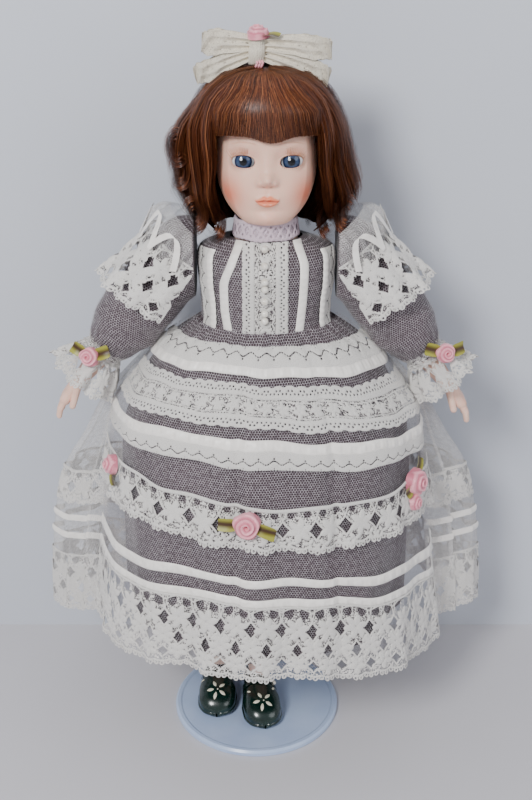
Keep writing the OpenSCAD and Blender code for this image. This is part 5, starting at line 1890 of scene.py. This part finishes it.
for side in (LEFT, RIGHT):
    tag = SIDE_NAMES[side]
    turn_foot = FOOT_TURN[side]
    turn_matrix = np.array([[math.cos(turn_foot), math.sin(turn_foot), 0],
                            [-math.sin(turn_foot), math.cos(turn_foot), 0], [0, 0, 1]])

    def in_shoe(points):
        return np.asarray(points) @ turn_matrix + FOOT[side]

    body = f"leg_{tag}"
    y, turn = np.meshgrid(np.concatenate([-23 + 6 * np.linspace(0, 1, 12) ** 2, np.linspace(-16.4, 20, 50),
                                          23 - 3 * np.linspace(0.9, 0, 8) ** 2]),
                          np.linspace(0, 2 * np.pi, 64, endpoint=False), indexing="ij")
    p = shoe_at(y, turn)
    shoe = Batch()
    shoe.add(in_shoe(p.reshape(-1, 3)), grid_faces(*y.shape, wrap=True))
    outline_y = np.concatenate([np.linspace(-23, 23, 60), np.linspace(23, -23, 60)])
    outline_x = np.concatenate([shoe_half(outline_y[:60]), -shoe_half(outline_y[60:])]) * 0.93
    welt, welt_faces = tube(in_shoe(np.stack([outline_x, outline_y * 0.955, np.full(120, 2.2)], -1)), 1.5,
                            10)
    shoe.add(welt, welt_faces)
    strap_y, strap_turn = np.meshgrid(np.linspace(STRAP_Y - STRAP_HALF, STRAP_Y + STRAP_HALF, 7),
                                      np.linspace(-1.45, 1.45, 40), indexing="ij")
    strap = shoe_at(strap_y, strap_turn)
    crown = 0.55 + 0.25 * np.cos((strap_y - STRAP_Y) / STRAP_HALF * 1.4)
    strap = strap + unit(strap - [0, 0, 6]) * crown[..., None]
    shoe.add(in_shoe(strap.reshape(-1, 3)), grid_faces(7, 40))
    shoe.piece(f"shoe_upper_{tag}", body, "shoe_green", SHOE, stands_for=[f"shoe_{tag}"])

    flower = Batch()
    spots = [(0, -12.5, 72 * k + 40, 4.2, 1.9) for k in range(5)] + [(-1.9, -12.5, 0, 0.9, 1.0)]
    spots += ([(-6.4, -4.5, 150, 3.0, 1.2)] if side == LEFT
              else [(6.0, -5.5, 60, 3.2, 1.3), (-5.4, -6.0, 130, 3.0, 1.2)])
    for cx, cy, angle, reach, width in spots:
        a = math.radians(angle)
        t, s = np.meshgrid(np.linspace(0, 1, 12), np.linspace(-1, 1, 7), indexing="ij")
        half = width / 2 * np.sin(np.pi * np.clip(t, 0.02, 0.98)) ** 0.7
        along = 1.9 + reach * t
        px = cx + along * math.cos(a) - s * half * math.sin(a)
        py = cy + along * math.sin(a) + s * half * math.cos(a)
        top = shoe_top(py)
        wide = np.clip(np.abs(px) / shoe_half(py), 0, 0.98)
        angle_on = np.arcsin(wide ** (1 / 0.8))
        pz = top * (0.34 + 0.66 * np.cos(angle_on) ** 0.75) + 0.35 * (1 - s**2) * np.sin(np.pi * t) + 0.12
        flower.add(in_shoe(np.stack([px, py, pz], -1).reshape(-1, 3)), grid_faces(12, 7))
    flower.piece(f"shoe_petals_{tag}", body, "petal_cream", PETAL, stands_for=[f"shoe_flower_{tag}"])
    points, button_faces = ball(in_shoe([[side * 9.0, STRAP_Y, 13.6]])[0], BUTTON_RADIUS, 12, 16)
    mesh_piece(f"shoe_button_{tag}", points, button_faces, body, "pearl", PEARL)


# ---- Stand ----

def make_wig_mesh():
    s = Shade("wig_cap_mesh", Roughness=0.8)
    where = s.place()
    cells = s.node("TexVoronoi", {"Vector": where, "Scale": 0.8}, feature="DISTANCE_TO_EDGE", out=0)
    s.link(Base_Color=s.ramp(cells, (0.05, srgb(96, 54, 30)), (0.25, srgb(44, 24, 14))))
    s.bump(cells, 0.5, 0.2)
    return s.material


ENAMEL = make_mottled("disc_enamel_paint", srgb(168, 188, 222), srgb(182, 200, 230), (22, 3), 0.08, 0.1,
                      (0.8, 2), (5, 4, 0.25, 0.42), Roughness=0.3, Coat_Weight=0.35, Coat_Roughness=0.2,
                      Specular_IOR_Level=0.5)
STEEL = make_mottled("plated_steel_finish", srgb(176, 178, 182), srgb(214, 216, 220), (3, 4), 0.06, 0.05,
                     (0.4, 2), (1.2, 4, 0.16, 0.38), Metallic=1.0, Roughness=0.25)
VINYL = make_mottled("clip_vinyl_sleeve", srgb(222, 222, 220), srgb(242, 242, 240), (4, 3), 0.15, 0.1,
                     Roughness=0.45, Specular_IOR_Level=0.4)
WIG_MESH = make_wig_mesh()
cad_material("stand_disc", ENAMEL)
for node in ("stand_tube", "stand_thumb_screw", "post_rod"):
    cad_material(node, STEEL)
for node in ("clip_hub", "clip_arm_left", "clip_arm_right"):
    cad_material(node, VINYL)
cad_material("wig_cap", WIG_MESH)


# ---- Floor, backdrop, light and camera ----

def stage_plane(name, corners, colour, dark, seen_from_front_only=False):
    mesh = bpy.data.meshes.new(name)
    mesh.from_pydata([tuple(c * MM for c in corner) for corner in corners], [], [(0, 1, 2, 3)])
    obj = bpy.data.objects.new(name, mesh)
    bpy.context.scene.collection.objects.link(obj)
    s = Shade(name, Roughness=0.8, Specular_IOR_Level=0.1)
    s.link(Base_Color=s.ramp(s.noise(s.place(), 160, 2), (0.3, dark), (0.7, colour)))
    if seen_from_front_only:
        s.link(Alpha=s.math("SUBTRACT", 1.0, s.node("NewGeometry", out=6)))
    mesh.materials.append(s.material)
    return obj


WALL_Y = 84.0
ROOM = 1500
stage_plane("floor", [(-ROOM, -ROOM, 0), (ROOM, -ROOM, 0), (ROOM, ROOM, 0), (-ROOM, ROOM, 0)],
            srgb(206, 204, 208), srgb(202, 200, 204))
stage_plane("backdrop", [(-ROOM, WALL_Y, 0), (ROOM, WALL_Y, 0), (ROOM, WALL_Y, 1800), (-ROOM, WALL_Y, 1800)],
            srgb(204, 208, 216), srgb(200, 204, 213), seen_from_front_only=True)

world = bpy.data.worlds.new("studio")
bpy.context.scene.world = world
world.use_nodes = True
world.node_tree.nodes["Background"].inputs[0].default_value = (0.9, 0.9, 0.95, 1)
world.node_tree.nodes["Background"].inputs[1].default_value = 0.55


def area_light(name, place, target, size, power, colour=(1, 1, 1)):
    data = bpy.data.lights.new(name, "AREA")
    data.shape, data.size, data.energy, data.color = "DISK", size, power, colour
    obj = bpy.data.objects.new(name, data)
    obj.location = place
    obj.rotation_euler = (Vector(target) - Vector(place)).to_track_quat("-Z", "Y").to_euler()
    bpy.context.scene.collection.objects.link(obj)


chest = (DOLL_X * MM, 0.0, 0.25)
area_light("key", (-0.45, -1.0, 0.95), chest, 0.35, 16)
area_light("fill", (0.9, -0.8, 0.7), chest, 0.8, 4, (0.95, 0.97, 1.0))

# Metres in front of the stand's centre and above the floor, degrees below level, and the lens in millimetres
CAMERA_AWAY, CAMERA_HIGH, CAMERA_TILT, LENS = 0.588, 0.473, 24.1, 51.75
camera_data = bpy.data.cameras.new("camera")
camera_data.sensor_width, camera_data.lens = 36, LENS
camera_data.clip_start, camera_data.clip_end = 0.01, 20
camera = bpy.data.objects.new("camera", camera_data)
camera.location = (DOLL_X * MM, -CAMERA_AWAY, CAMERA_HIGH)
camera.rotation_euler = (math.radians(90 - CAMERA_TILT), 0, 0)
bpy.context.scene.collection.objects.link(camera)
bpy.context.scene.camera = camera
